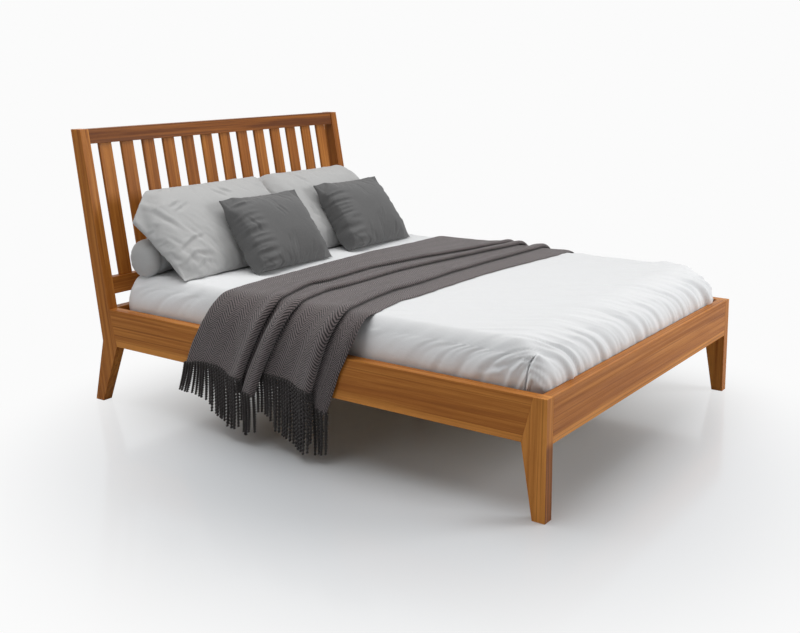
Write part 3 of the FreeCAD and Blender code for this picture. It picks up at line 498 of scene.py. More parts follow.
WHITE_COTTON = plain_cloth("white_cotton", (0.793, 0.80, 0.807), 9, 0.004, 900, 0.03, 0.05)
GREY_COTTON = plain_cloth("grey_cotton", (0.446, 0.446, 0.442), 11, 0.007, 900, 0.05, 0.08)
CHARCOAL = plain_cloth("charcoal_linen", (0.107, 0.107, 0.107), 12, 0.006, 700, 0.16, 0.12)
TICKING = plain_cloth("ticking", (0.70, 0.69, 0.66), 40, 0.002, 600, 0.06, 0.05)
WEBBING = plain_cloth("webbing", (0.10, 0.10, 0.105), 60, 0.001, 500, 0.25, 0.1)
print("cloths:", [cloth.name for cloth in (WHITE_COTTON, GREY_COTTON, CHARCOAL, TICKING, WEBBING)])

# %% [markdown]
# ## Helpers for soft shapes
# Sculpting by hand can't be repeated, so the soft pieces here are grids of points that are moved by rules.
# Three rules come back on every piece: smooth noise for unevenness, a soft step that fades one thing into
# another, and creases along lines that are placed where the photograph shows them.

# %% Shape helpers
def field(points, scale, seed):
    """Smooth noise at each point, from -1 to 1. The scale is one number or one for each axis."""
    moved = np.asarray(points) * np.asarray(scale) + seed
    return np.array([noise.noise(Vector(point)) for point in moved])


def ease(value, low, high):
    """Goes smoothly from 0 at low to 1 at high."""
    share = np.clip((value - low) / (high - low), 0, 1)
    return share * share * (3 - 2 * share)


def along_lines(places, lines):
    """How far each place in a plane is from the nearest of some lines, to which side, and where along it."""
    nearest = np.full(len(places), np.inf)
    aside, along = np.zeros(len(places)), np.zeros(len(places))
    for line in lines:
        lengths = np.linalg.norm(np.diff(line, axis=0), axis=1)
        starts = np.concatenate([[0], np.cumsum(lengths)])
        for i, (start, end) in enumerate(zip(line, line[1:])):
            run = np.subtract(end, start)
            share = np.clip((places - start) @ run / (run @ run), 0, 1)
            off = places - start - share[:, None] * run
            distance = np.hypot(off[:, 0], off[:, 1])
            closer = distance < nearest
            nearest = np.where(closer, distance, nearest)
            aside = np.where(closer, (run[0] * off[:, 1] - run[1] * off[:, 0]) / lengths[i], aside)
            along = np.where(closer, (starts[i] + share * lengths[i]) / starts[-1], along)
    return nearest, aside, along


def creased(places, lines, depth, width):
    """Valleys along lines that are given in a plane, each with a soft ridge beside it."""
    nearest, aside, along = along_lines(places, lines)
    waver = 1 + 0.5 * field(np.stack([along * 3, nearest * 0, nearest * 0], 1), 1.0, 5.5)
    valley = np.exp(-(nearest / (width * waver)) ** 2)
    ridge = np.exp(-((aside - 1.7 * width) / width) ** 2 - np.maximum(nearest - np.abs(aside), 0) / width)
    return depth * np.sin(math.pi * along) ** 0.8 * (0.7 * ridge - valley)


def mesh_piece(name, points, faces, material, slot):
    """Smooth piece from points and faces."""
    mesh = bpy.data.meshes.new(name)
    mesh.from_pydata([tuple(point) for point in points], [], [tuple(face) for face in faces])
    mesh.materials.append(material)
    mesh.validate()
    mesh.shade_smooth()
    return placed(name, mesh, slot)


def grid_faces(rows, columns, closed=False):
    """Quads of a grid of points that are stored row by row."""
    faces = []
    for row in range(rows - 1):
        for column in range(columns if closed else columns - 1):
            after = (column + 1) % columns
            first = row * columns
            faces.append((first + column, first + after, first + columns + after, first + columns + column))
    return faces


print("halfway through a soft step:", ease(np.array([0.5]), 0, 1)[0])

# %% [markdown]
# ## Soft block
# The mattress is a stuffed block, and the sheet is pulled over it. Bevelled edges would look hard, because
# a bevel starts and ends at a line. So both start as the grid of an open box, and the zones along its
# edges are drawn in to superellipsoids, which swell from the flat top into the round edge without a line.
# The foot edge is the widest, as in the photograph.

# %% Rounded cover
def lines(*stretches):
    """Places of grid lines over stretches of (start, end, spacing)."""
    places = []
    for start, end, spacing in stretches:
        places.extend(np.linspace(start, end, max(1, round((end - start) / spacing)), endpoint=False))
    return np.array(places + [stretches[-1][1]])


def rounded_cover(x_lines, y_lines, z_lines, radius):
    """Points, quads and lower rim of the top and four sides of a box with slightly rounded edges."""
    nx, ny = len(x_lines), len(y_lines)
    top = [(x, y, z_lines[-1]) for y in y_lines for x in x_lines]
    faces = grid_faces(ny, nx)
    rim = list(range(nx))
    rim += [row * nx + nx - 1 for row in range(1, ny)]
    rim += [(ny - 1) * nx + i for i in range(nx - 2, -1, -1)]
    rim += [row * nx for row in range(ny - 2, 0, -1)]
    points = list(top)
    above = rim
    for z in z_lines[-2::-1]:
        below = list(range(len(points), len(points) + len(rim)))
        points.extend((top[i][0], top[i][1], z) for i in rim)
        for i in range(len(rim)):
            after = (i + 1) % len(rim)
            faces.append((above[after], above[i], below[i], below[after]))
        above = below
    points = np.array(points)
    low = np.array([x_lines[0] + radius, y_lines[0] + radius, -1.0])
    high = np.array([x_lines[-1] - radius, y_lines[-1] - radius, z_lines[-1] - radius])
    core = np.clip(points, low, high)
    out = points - core
    length = np.linalg.norm(out, axis=1, keepdims=True)
    out = out / np.maximum(length, 1e-9)
    return core + out * radius, faces, above


def outward(points, faces):
    """Smooth outward directions at the points of a cover, from the areas of its quads."""
    corners = points[np.array(faces)]
    across = np.cross(corners[:, 2] - corners[:, 0], corners[:, 3] - corners[:, 1])
    total = np.zeros_like(points)
    for corner in np.array(faces).T:
        np.add.at(total, corner, across)
    return total / np.linalg.norm(total, axis=1, keepdims=True)


print("lines over a metre, 30 mm apart:", len(lines((0, 1, 0.03))))

# %% Soft edges
SIDE_REACH, FOOT_REACH, HEAD_REACH, EDGE_DROP = 0.065, 0.17, 0.07, 0.15
SHEET_POWER, MATTRESS_POWER = 2.2, 2.0
COVER_EDGE = 0.0003


def soft_block(points, low, high, power):
    """Rounds the edges and corners of a block: boxes about its inner corners become superellipsoids."""
    points = points.copy()
    side = np.maximum(1 - (high.x - np.abs(points[:, 0])) / SIDE_REACH, 0)
    foot = np.maximum(1 - (points[:, 1] - low.y) / FOOT_REACH, 0)
    head = np.maximum(1 - (high.y - points[:, 1]) / HEAD_REACH, 0)
    rise = np.maximum(1 - (high.z - points[:, 2]) / EDGE_DROP, 0)
    parts = np.stack([side, foot + head, rise], 1)
    size = np.maximum((parts ** power).sum(1) ** (1 / power), 1e-6)
    inward = 1 - parts.max(1) / size
    points[:, 0] -= np.sign(points[:, 0]) * SIDE_REACH * side * inward
    points[:, 1] += (FOOT_REACH * foot - HEAD_REACH * head) * inward
    points[:, 2] -= EDGE_DROP * rise * inward
    return points


print("edges drawn in by", SIDE_REACH, "m at the sides and", FOOT_REACH, "m at the foot")

# %% [markdown]
# ## Mattress
# Under the sheet lies a mattress with a quilted border: bands that swell between rows of stitches. It is a
# little smaller than the sheet, and it gives way behind the slit in the sheet's near corner, so that the
# slit can be deep and dark.

# %% Mattress
MATTRESS_GAP = 0.0015
BAND_COUNT, BAND_DEPTH = 3, 0.003
SLIT_DENT = 0.024
FOOT_GIVE = 0.008
low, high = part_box("mattress")
cover, faces, rim = rounded_cover(
    lines((low.x, high.x, 0.03)), lines((low.y, high.y, 0.03)), lines((low.z, high.z, 0.012)),
    COVER_EDGE)
points = soft_block(cover, low, high, MATTRESS_POWER)
out = outward(points, faces)
depth_share = (high.z - cover[:, 2]) / (high.z - low.z)
band = np.sin(math.pi * np.clip(depth_share, 0, 1) * BAND_COUNT) ** 2
corner = np.hypot(cover[:, 0] - low.x, cover[:, 1] - low.y)
dent = SLIT_DENT * ease(corner, 0.16, 0.07) * ease(cover[:, 2], high.z, high.z - 0.02)
give = MATTRESS_GAP + dent + FOOT_GIVE * np.clip(-out[:, 1], 0, 1)
points -= out * (give + BAND_DEPTH * band * (1 - np.abs(out[:, 2])))[:, None]
faces.append(tuple(reversed(rim)))
mattress = mesh_piece("mattress_block", points, faces, TICKING, "ticking")
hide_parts("mattress")
print("mattress:", len(faces), "faces")

# %% [markdown]
# ## Fitted sheet
# The sheet is stretched over the mattress and tucked in. A cloth simulation would give other folds after
# every change, so the folds follow a rule: noise with narrow valleys, whose lines run across the top at a
# slant and lean as they hang down the sides. They are deep at the foot and faint on top. At the near
# corner one edge of the cloth lies over the other. That slit and its fan of creases are lines in a plane
# that unrolls the two faces: the first number runs round the corner, the second is the height.

# %% Fitted sheet
CREASE_TURN = math.radians(54.6)
HANG_LEAN, HANG_BEND = 0.85, 0.12
LARGE_FOLDS, SMALL_FOLDS = (0.052, 0.5, 3.1), (0.023, 0.35, 8.7)
TOP_FOLD, FOOT_FOLD, SIDE_FOLD, SIDE_FOLD_AT_FOOT = 0.0030, 0.021, 0.005, 0.007
SIDE_SWELL = 0.003
SLIT_DEPTH, SLIT_WIDTH = 0.017, 0.0034
FLAP_RISE, FLAP_ASIDE, FLAP_WIDTH = 0.006, 0.016, 0.012
FAN_DEPTH, FAN_WIDTH = 0.007, 0.010
FOOT_STRETCHES = ((0, 0.015, 0.005), (0.015, 0.075, 0.0020), (0.075, 0.35, 0.007))
SLIT = ((0.032, 0.561), (0.008, 0.545), (-0.028, 0.481), (-0.048, 0.405), (-0.056, 0.370))
FAN = (((0.02, 0.573), (-0.04, 0.557), (-0.124, 0.489), (-0.16, 0.473), (-0.24, 0.45)),
       ((-0.03, 0.556), (-0.068, 0.533), (-0.12, 0.477), (-0.14, 0.425), (-0.15, 0.38)),
       ((0.008, 0.553), (-0.064, 0.469), (-0.10, 0.405), (-0.12, 0.36)),
       ((0.06, 0.557), (0.128, 0.493), (0.144, 0.457), (0.16, 0.401), (0.17, 0.36)),
       ((0.15, 0.56), (0.184, 0.521), (0.184, 0.473), (0.212, 0.425), (0.23, 0.37)))
low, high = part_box("fitted_sheet")
throw_low, throw_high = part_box("throw_blanket")
rail_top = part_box("foot_rail")[1].z


def folds_of(points, spacing, length, seed):
    """Round folds with narrow valleys, at a slant across the top and leaning down the sides."""
    depth = high.z - points[:, 2]
    hung = HANG_LEAN * HANG_BEND * (1 - np.exp(-depth / HANG_BEND))
    over = math.sin(CREASE_TURN) * points[:, 0] + math.cos(CREASE_TURN) * points[:, 1] - hung
    along = math.cos(CREASE_TURN) * points[:, 0] - math.sin(CREASE_TURN) * points[:, 1]
    return np.abs(field(np.stack([over / spacing, along / length, depth / length], 1), 1.0, seed)) ** 0.85


def sheet_wrinkles(points, out):
    """How far the sheet stands off the mattress: folds at the foot, slack sides, faint creases on top."""
    from_foot = points[:, 1] - low.y
    from_side = high.x - np.abs(points[:, 0])
    depth = high.z - points[:, 2]
    is_top = np.clip(out[:, 2], 0, 1)
    foot_face = np.clip(-out[:, 1], 0, 1)
    side_face = np.abs(out[:, 0])
    at_foot = np.maximum(foot_face, np.exp(-from_foot / 0.13) * is_top)
    at_side = np.maximum(side_face, np.exp(-from_side / 0.10) * is_top)
    toward_foot = ease(points[:, 1], -0.35, -0.95)
    gather = 1 + 0.5 * ease(from_side, 0.45, 0.10)
    strength = (TOP_FOLD * is_top + FOOT_FOLD * at_foot * gather
                + at_side * (SIDE_FOLD + SIDE_FOLD_AT_FOOT * toward_foot))
    folds = strength * (folds_of(points, *LARGE_FOLDS) + 0.55 * folds_of(points, *SMALL_FOLDS))
    swell = side_face * SIDE_SWELL * np.sin(math.pi * np.clip(depth / (high.z - low.z), 0, 1))
    return folds + swell - FOOT_GIVE * 0.6 * foot_face


def corner_slit(points, out):
    """The tucked corner: one edge of cloth over the other, a thin dark line and a fan of creases."""
    from_side, from_foot = points[:, 0] - low.x, points[:, 1] - low.y
    places = np.stack([from_side - from_foot, points[:, 2] + np.minimum(from_side, from_foot)], 1)
    near = ease(from_side, 0.14, 0.08) * ease(out[:, 2], 0.98, 0.8)
    away, aside, _ = along_lines(places, [SLIT])
    groove = -SLIT_DEPTH * np.exp(-(away / SLIT_WIDTH) ** 2)
    past_end = np.maximum(away - np.abs(aside), 0) / 0.006
    flap = FLAP_RISE * np.exp(-((aside - FLAP_ASIDE) / FLAP_WIDTH) ** 2 - past_end)
    return near * (groove + flap + creased(places, FAN, FAN_DEPTH, FAN_WIDTH))


stretches = [(low.y + start, low.y + end, spacing) for start, end, spacing in FOOT_STRETCHES]
stretches.append((stretches[-1][1], high.y, 0.011))
cover, faces, _ = rounded_cover(
    lines((low.x, high.x, 0.008)), lines(*stretches), lines((low.z, high.z, 0.006)), COVER_EDGE)
points = soft_block(cover, low, high, SHEET_POWER)
out = outward(points, faces)
under_throw = (ease(cover[:, 1], throw_low.y - 0.05, throw_low.y + 0.03)
               * ease(cover[:, 1], throw_high.y + 0.03, throw_high.y - 0.05))
lift = sheet_wrinkles(cover, out) * (1 - 0.9 * under_throw) - 0.0006 * under_throw
lift *= 0.12 + 0.88 * ease(cover[:, 2], rail_top - 0.03, rail_top + 0.02)
lift = np.maximum(lift, -0.0012 - FOOT_GIVE * np.clip(-out[:, 1], 0, 1)) + corner_slit(cover, out)
points += out * lift[:, None]
points[:, 2] = np.maximum(points[:, 2], low.z)
sheet = mesh_piece("fitted_sheet_cloth", points, faces, WHITE_COTTON, "white_cotton")
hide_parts("fitted_sheet")

# %% [markdown]
# ## Bolster
# The bolster is a long roll behind the pillows. Only its left end shows: a domed end with a seam set
# back from it, where the cloth is gathered in soft radial folds. A lathe turns a profile into such a roll,
# and here rings of points do the same, so that each point can then be moved by the seam and the folds.

# %% Bolster
ROLL_SEGMENTS, ROLL_STEPS = 112, 260
END_DOME, END_DROOP = 0.045, 0.014
SEAM_BACK, SEAM_DEPTH, SEAM_WIDTH = 0.062, 0.0090, 0.0045
ON_BED_GIVE = 0.012
low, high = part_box("bolster")
roll_radius = (high.z - low.z) / 2
roll_y, roll_z = (low.y + high.y) / 2, (low.z + high.z) / 2


def pressed_on_bed(points, level, give):
    """Flattens what would sink into the bed, and spreads it a little."""
    low = points[:, 2] - level
    points = points.copy()
    points[:, 2] = level + np.where(low < give, give * np.exp((low - give) / give), low)
    return points


def roll_profile(share):
    """Distance along the roll and its radius there, from one end's middle to the other's."""
    length = high.x - low.x
    arc = 0.12
    if share < arc:
        angle = share / arc * math.pi / 2
        return END_DOME * (1 - math.cos(angle)), roll_radius * math.sin(angle) ** 0.62
    if share > 1 - arc:
        along, radius = roll_profile(1 - share)
        return length - along, radius
    return END_DOME + (length - 2 * END_DOME) * (share - arc) / (1 - 2 * arc), roll_radius


ring_points = []
angle = np.linspace(0, 2 * math.pi, ROLL_SEGMENTS, endpoint=False)
for step in range(1, ROLL_STEPS):
    along, radius = roll_profile(step / ROLL_STEPS)
    ring_points.append(np.stack([np.full_like(angle, low.x + along), roll_y + radius * np.cos(angle),
                                 roll_z + radius * np.sin(angle)], 1))
points = np.concatenate(ring_points)
centre = np.array([0, roll_y, roll_z])
radial = points * [0, 1, 1] - centre
angle = np.arctan2(radial[:, 2], radial[:, 1])
from_end = np.minimum(points[:, 0] - low.x, high.x - points[:, 0])
seam = -SEAM_DEPTH * np.exp(-((from_end - SEAM_BACK) / SEAM_WIDTH) ** 2)
gather_line = np.stack([np.cos(angle) * 2.2, np.sin(angle) * 2.2, from_end * 3], 1)
gather = 0.0035 * field(gather_line, (2.4, 2.4, 1), 4.4) * np.exp(-from_end / 0.10)
slack = 0.003 * field(points, (7, 12, 12), 2.9)
lift = seam + gather + slack - 0.002
points = points + radial / np.linalg.norm(radial, axis=1, keepdims=True) * lift[:, None]
points = pressed_on_bed(points, low.z, ON_BED_GIVE)
points[:, 2] -= END_DROOP * ease(from_end, 0.20, 0.0)
faces = grid_faces(ROLL_STEPS - 1, ROLL_SEGMENTS, closed=True)
faces = [tuple(reversed(face)) for face in faces]
faces.append(tuple(range(ROLL_SEGMENTS)))
faces.append(tuple(reversed(range(len(points) - ROLL_SEGMENTS, len(points)))))
bolster = mesh_piece("bolster_roll", points, faces, GREY_COTTON, "grey_cotton")
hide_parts("bolster")
print("bolster:", len(faces), "faces")

# %% [markdown]
# ## Sewn cases
# A pillow is two flat panels sewn together and blown up by its filling. That is also how it is made
# here: a closed grid of two panels, whose shared border is the seam. A style gives the size of a case,
# how far its sides are drawn in, how round its corners are, and where the left seam runs.

# %% Sewn case
EDGE_POWER = 2.6


def rounded_plan(across, along, half_across, half_along, radius):
    """Moves places of a rectangle so that its corners become round, for a box centred on zero."""
    over_x = np.maximum(np.abs(across) - (half_across - radius), 0)
    over_y = np.maximum(np.abs(along) - (half_along - radius), 0)
    length = np.hypot(over_x, over_y)
    pull = np.where(length > 1e-9, np.maximum(over_x, over_y) / np.maximum(length, 1e-9), 1)
    return across - np.sign(across) * over_x * (1 - pull), along - np.sign(along) * over_y * (1 - pull)


def sewn_case(style):
    """Two panels joined all round: places on the panels, swell of each place, seam points and faces.

    The sides are drawn in by a share, and the corners rounded by a radius on the left and one on the right.
    The left seam is given from its top to its foot: share of the height, place across and depth behind.
    """
    width, height = style["case"]
    nx, ny = round(width / style["spacing"]) + 1, round(height / style["spacing"]) + 1
    across, up = np.meshgrid(np.linspace(-1, 1, nx), np.linspace(-1, 1, ny))
    x = across * width / 2 * (1 - style["draw"] * (1 - up ** 2))
    y = up * height / 2 * (1 - style["draw"] * (1 - across ** 2))
    x, y = rounded_plan(x, y, width / 2, height / 2, np.where(across < 0, *style["corners"]))
    seam = np.array(style.get("left_seam", ((0, -width / 2, 0), (1, -width / 2, 0))))
    x = x + (np.interp((1 - up) / 2, seam[:, 0], seam[:, 1]) + width / 2) * ease(across, -0.3, -1.0)
    swell = ((1 - np.abs(across) ** EDGE_POWER) * (1 - np.abs(up) ** EDGE_POWER)) ** 0.5
    back = np.interp((1 - up) / 2, seam[:, 0], seam[:, 2]) * ease(across, -0.72, -1.0)
    plain = np.stack([x, y + height / 2, -back], 2)
    border = (np.abs(across) == 1) | (np.abs(up) == 1)
    index = np.arange(nx * ny).reshape(ny, nx)
    inner = np.where(border, 0, np.cumsum(~border).reshape(ny, nx) + nx * ny - 1)
    behind = np.where(border, index, inner)
    faces = grid_faces(ny, nx)
    faces += [tuple(behind.ravel()[list(reversed(face))]) for face in grid_faces(ny, nx)]
    inside = ~border.ravel()
    flat = np.concatenate([plain.reshape(-1, 3), plain.reshape(-1, 3)[inside]])
    side = np.concatenate([swell.ravel(), -swell.ravel()[inside]])
    return flat, side, np.flatnonzero(border.ravel()), faces


print("swell halfway to a sewn edge:", round((1 - 0.5 ** EDGE_POWER) ** 0.5, 3))

# %% [markdown] ## Filling Blender's cloth fills the case: the seams are pinned, the panels get some spare
# cloth, and an inner pressure blows them up, so that puckers run in from the edges. Alone it gives a tight
# balloon. The result is mixed with the plain swell of the case, and its depths are then set, with a steep or
# a gentle flank on either side.

# %% Filling
SIM_FRAMES = 26
SIM_SHARE = 0.65
CASE_CLOTH = {"quality": 6, "mass": 0.25, "tension_stiffness": 30, "compression_stiffness": 30,
              "shear_stiffness": 8, "bending_stiffness": 0.05, "air_damping": 3, "use_pressure": True}


def blown_up(points, faces, seam, pressure, spare):
    """Simulates a case whose cloth is a little larger than its seams, with an inner pressure."""
    mesh = bpy.data.meshes.new("case")
    mesh.from_pydata([tuple(point) for point in points], [], faces)
    case = bpy.data.objects.new("case", mesh)
    scene.collection.objects.link(case)
    group = case.vertex_groups.new(name="seam")
    group.add([int(i) for i in seam], 1.0, "REPLACE")
    cloth = case.modifiers.new("cloth", "CLOTH")
    for key, value in CASE_CLOTH.items():
        setattr(cloth.settings, key, value)
    cloth.settings.uniform_pressure_force = pressure
    cloth.settings.shrink_min = -spare
    cloth.settings.vertex_group_mass = "seam"
    cloth.settings.effector_weights.gravity = 0
    cloth.collision_settings.use_collision = False
    cloth.point_cache.frame_start = 1
    cloth.point_cache.frame_end = SIM_FRAMES
    for step in range(1, SIM_FRAMES + 1):
        scene.frame_set(step)
    result = bpy.data.meshes.new_from_object(case.evaluated_get(bpy.context.evaluated_depsgraph_get()))
    blown = points_of(result)
    scene.frame_set(1)
    bpy.data.objects.remove(case)
    bpy.data.meshes.remove(result)
    return blown


def fitted(points, flat, style):
    """Brings a blown-up case to its finished depths. A low fullness gives steep sides and a flat face."""
    points = points.copy()
    width, height = style["case"]
    left, right, crown = style["fullness"]
    power = left + (right - left) * ease(flat[:, 0] / width, -0.45, 0.40)
    power = power + crown * ease(flat[:, 1] / height, 0.55, 1.0)
    rise = points[:, 2] - flat[:, 2]
    share = np.where(rise > 0, rise / max(rise.max(), 1e-6), rise / min(rise.min(), -1e-6))
    points[:, 2] = flat[:, 2] + np.where(rise > 0, style["front"], -style["back"]) * share ** power
    return points


print("filling:", f"{SIM_FRAMES} steps of cloth for each case")

# %% [markdown]
# ## Leaning and pressing
# A finished case stands on its lower seam and leans back, as its CAD solid does. Where it would sink into
# the bed, the bolster or a neighbour, its points are moved out to the surface, as filling gives way.

# %% Leaning and pressing
CASE_GAP, ROLL_GAP = 0.001, 0.002
NEIGHBOUR_REACH = 0.12
bed_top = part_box("fitted_sheet")[1].z


def leaned(points, spot, tilt):
    """Stands a case on its lower edge at a spot, leaning back by its tilt."""
    return points @ np.array(Matrix.Rotation(tilt, 3, "X")).T + np.array(spot)


def pressed_out_of(points, axis_y, axis_z, radius):
    """Moves points out of a lying roll."""
    off_y, off_z = points[:, 1] - axis_y, points[:, 2] - axis_z
    away = np.hypot(off_y, off_z)
    push = np.where(away < radius, radius / np.maximum(away, 1e-6), 1)
    points = points.copy()
    points[:, 1] = axis_y + off_y * push
    points[:, 2] = axis_z + off_z * push
    return points


def press_off(piece, neighbour):
    """Moves the points of a piece that lie inside a neighbour onto its surface."""
    tree = BVHTree.FromObject(neighbour, bpy.context.evaluated_depsgraph_get())
    points = points_of(piece.data)
    for i, point in enumerate(points):
        spot, normal, _, _ = tree.find_nearest(Vector(point), NEIGHBOUR_REACH)
        if spot is not None and (Vector(point) - spot).dot(normal) < CASE_GAP:
            points[i] = spot + normal * CASE_GAP
    piece.data.vertices.foreach_set("co", np.asarray(points, np.float32).ravel())
    piece.data.update()


def lowest_seam(node):
    """Middle of the lowest edge of a leaning CAD solid."""
    points = points_of(frame["nodes"][node].data)
    edge = points[points[:, 2] < points[:, 2].min() + 0.001]
    return (edge.min(0) + edge.max(0)) / 2


def stuffed(name, node, style, seed):
    """One sewn, blown-up, creased, leaned and pressed case that stands for a CAD node."""
    flat, side, seam, faces = sewn_case(style)
    points = flat.copy()
    points[:, 2] += side * np.where(side > 0, style["front"], style["back"])
    points += SIM_SHARE * (blown_up(points, faces, seam, style["pressure"], style["spare"]) - points)
    points = fitted(points, flat, style)
    rise = points[:, 2] - flat[:, 2]
    wrinkle = style["creases"](points - flat * [0, 0, 1], seed)
    drawn = creased(points[:, :2], style["lines"], style["line_depth"], style["line_width"])
    wrinkle += np.where(rise > 0, drawn, 0)
    points[:, 2] += wrinkle * np.sign(rise) * ease(np.abs(rise), 0.004, 0.03)
    foot = lowest_seam(node)[:2] + style["shift"]
    points = leaned(points, (*foot, bed_top), style["tilt"])
    points = pressed_on_bed(points, bed_top + CASE_GAP, ON_BED_GIVE)
    points = pressed_out_of(points, roll_y, roll_z, roll_radius + ROLL_GAP)
    piece = mesh_piece(name, points, faces, style["cloth"], style["slot"])
    smooth = piece.modifiers.new("smooth", "SUBSURF")
    smooth.levels = smooth.render_levels = 1
    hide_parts(node)
    return piece


print("lower seams:", [lowest_seam(f"pillow_{side}").round(3).tolist() for side in ("left", "right")])

# %% [markdown]
# ## Pillows
# Two grey pillows lean on the bolster, the right one partly behind the left one. Their cases are washed
# cotton, with long soft creases that are stronger towards the lower left. The sharpest creases are lines
# on the panel, in metres from the middle of its lower edge, where the photograph shows them.

# %% Pillows
def pillow_creases(points, seed):
    """Long soft creases of a washed case, stronger towards its lower left."""
    flow = np.stack([points[:, 0] + 0.5 * points[:, 1], points[:, 1] * 0.4, points[:, 2] * 0.2], 1)
    ridge = 1 - 2 * np.abs(field(flow, (13, 9, 3), seed)) - np.abs(field(flow, (27, 20, 3), seed + 1.9))
    broad = field(points, (6, 6, 3), seed + 3.3)
    lower_left = ease(points[:, 0], 0.15, -0.3) * ease(points[:, 1], 0.42, 0.1)
    fine = 1 - 2.2 * np.abs(field(flow, (52, 38, 3), seed + 5.1))
    return 0.0060 * ridge * (0.35 + 0.65 * lower_left) + 0.0040 * fine * lower_left + 0.005 * broad


PILLOW = {"case": (0.75, 0.46), "spacing": 0.0072, "draw": 0.0, "corners": (0.012, 0.045),
          "front": 0.085, "back": 0.050, "fullness": (0.9, 0.9, 0.3), "tilt": math.radians(50),
          "shift": (0, -0.02), "pressure": 4.0, "spare": 0.07, "creases": pillow_creases,
          "line_depth": 0.008, "line_width": 0.008, "cloth": GREY_COTTON, "slot": "grey_cotton"}
LEFT_SEAM = ((0, -0.3255, 0), (0.18, -0.400, 0.035), (0.25, -0.4255, 0.055), (0.43, -0.412, 0.040),
             (0.60, -0.404, 0.025), (0.76, -0.3965, 0.010), (1, -0.387, 0))
LEFT_PILLOW_LINES = (
    ((-0.394, 0.420), (-0.346, 0.286), (-0.294, 0.189)), ((-0.027, 0.393), (-0.001, 0.357), (0.038, 0.331)),
    ((0.025, 0.397), (0.078, 0.344)), ((-0.306, 0.325), (-0.229, 0.350)), ((-0.294, 0.299), (-0.199, 0.334)),
    ((-0.373, 0.114), (-0.280, 0.157), (-0.207, 0.165)), ((-0.378, 0.053), (-0.296, 0.096), (-0.207, 0.073)),
    ((-0.324, 0.023), (-0.259, 0.055), (-0.195, 0.038)), ((-0.389, 0.322), (-0.433, 0.212)))
RIGHT_PILLOW_LINES = (
    ((-0.330, 0.392), (-0.330, 0.300)), ((-0.162, 0.426), (-0.112, 0.332)),
    ((-0.195, 0.220), (-0.196, 0.140)))
LEFT_PILLOW = dict(PILLOW, lines=LEFT_PILLOW_LINES, left_seam=LEFT_SEAM)
RIGHT_SEAM = ((0, -0.36, 0.030), (0.3, -0.36, 0.060), (1, -0.36, 0.055))
RIGHT_PILLOW = dict(PILLOW, case=(0.72, 0.46), corners=(0.02, 0.12), shift=(-0.047, -0.02),
                    lines=RIGHT_PILLOW_LINES, left_seam=RIGHT_SEAM)
pillows = {"left": stuffed("pillow_left_case", "pillow_left", LEFT_PILLOW, 2.6),
           "right": stuffed("pillow_right_case", "pillow_right", RIGHT_PILLOW, 7.9)}
press_off(pillows["right"], pillows["left"])
print("pillow faces:", [len(piece.data.polygons) for piece in pillows.values()])

# %% [markdown]
# ## Cushions
# The charcoal cushions are plump and stand in front of the pillows. Their left flank is steep, the right
# one gentle, and puckers run in from the seams. They are made as the pillows are, with another style.

# %% Cushions
def cushion_creases(points, seed):
    """Soft unevenness of a full cushion, with puckers that run in from its sides."""
    run_in = np.stack([points[:, 0] * 0.25, points[:, 1], points[:, 2] * 0.1], 1)
    pucker = 1 - 2.4 * np.abs(field(run_in, (14, 38, 3), seed))
    weight = ease(points[:, 0], -0.10, -0.20) * ease(points[:, 2], 0.012, 0.050)
    weight = weight + 0.5 * ease(points[:, 0], 0.16, 0.24)
    broad = field(points, (8, 8, 3), seed + 1.1)
    return 0.0105 * pucker * weight + 0.003 * broad


CUSHION = {"case": (0.50, 0.38), "spacing": 0.0062, "draw": 0.030, "corners": (0.004, 0.004),
           "front": 0.082, "back": 0.058, "fullness": (0.30, 1.2, 0.5), "tilt": math.radians(53),
           "shift": (0, 0), "pressure": 5.0, "spare": 0.09, "creases": cushion_creases,
           "line_depth": 0.0042, "line_width": 0.006, "cloth": CHARCOAL, "slot": "charcoal_linen"}
CUSHION_LINES = {
    "left": (((-0.024, 0.281), (0.007, 0.216)), ((0.005, 0.285), (0.028, 0.224)),
             ((-0.039, 0.139), (-0.049, 0.030)), ((-0.016, 0.125), (-0.043, 0.068)),
             ((-0.216, 0.257), (-0.170, 0.160))),
    "right": (((0.051, 0.168), (0.022, 0.103)), ((-0.090, 0.120), (-0.110, 0.040)),
              ((0.120, 0.090), (0.105, 0.030)))}
cushions = {}
for side, seed in (("left", 4.2), ("right", 9.6)):
    style = dict(CUSHION, lines=CUSHION_LINES[side])
    cushion = stuffed(f"cushion_{side}_case", f"cushion_{side}", style, seed)
    for pillow in pillows.values():
        press_off(cushion, pillow)
    cushions[side] = cushion
print("cushion faces:", [len(piece.data.polygons) for piece in cushions.values()])

# %% [markdown]
# ## Throw
# The throw is a long wool blanket, folded lengthwise into overlapping layers and laid across the bed.
# A cloth simulation would lose the folds, so its surface follows a rule: a path runs from the near
# hem up over the mattress and down to the far hem, and at each place on it a section with three
# tucked folds is set out between five guide lines, which are read from the photograph.

# %% Throw path
THROW_LIFT = 0.0016
HANG_OUT, HEM_OUT = 0.006, 0.004
PATH_STEP = 0.008
FAR_HEM = 0.316
HEM_SPARE = 0.085
SHOULDER_IN, SHOULDER_DROP, SHOULDER_POWER = 0.045, 0.012, 2.4
SHOULDER_STEPS = 24
side_low, side_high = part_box("side_rail_left")
near_hem = throw_low.z
hang_x = -side_low.x + HANG_OUT
shoulder_x = -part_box("mattress")[0].x - SHOULDER_IN
shoulder_z = side_high.z - SHOULDER_DROP
path_top = bed_top + THROW_LIFT


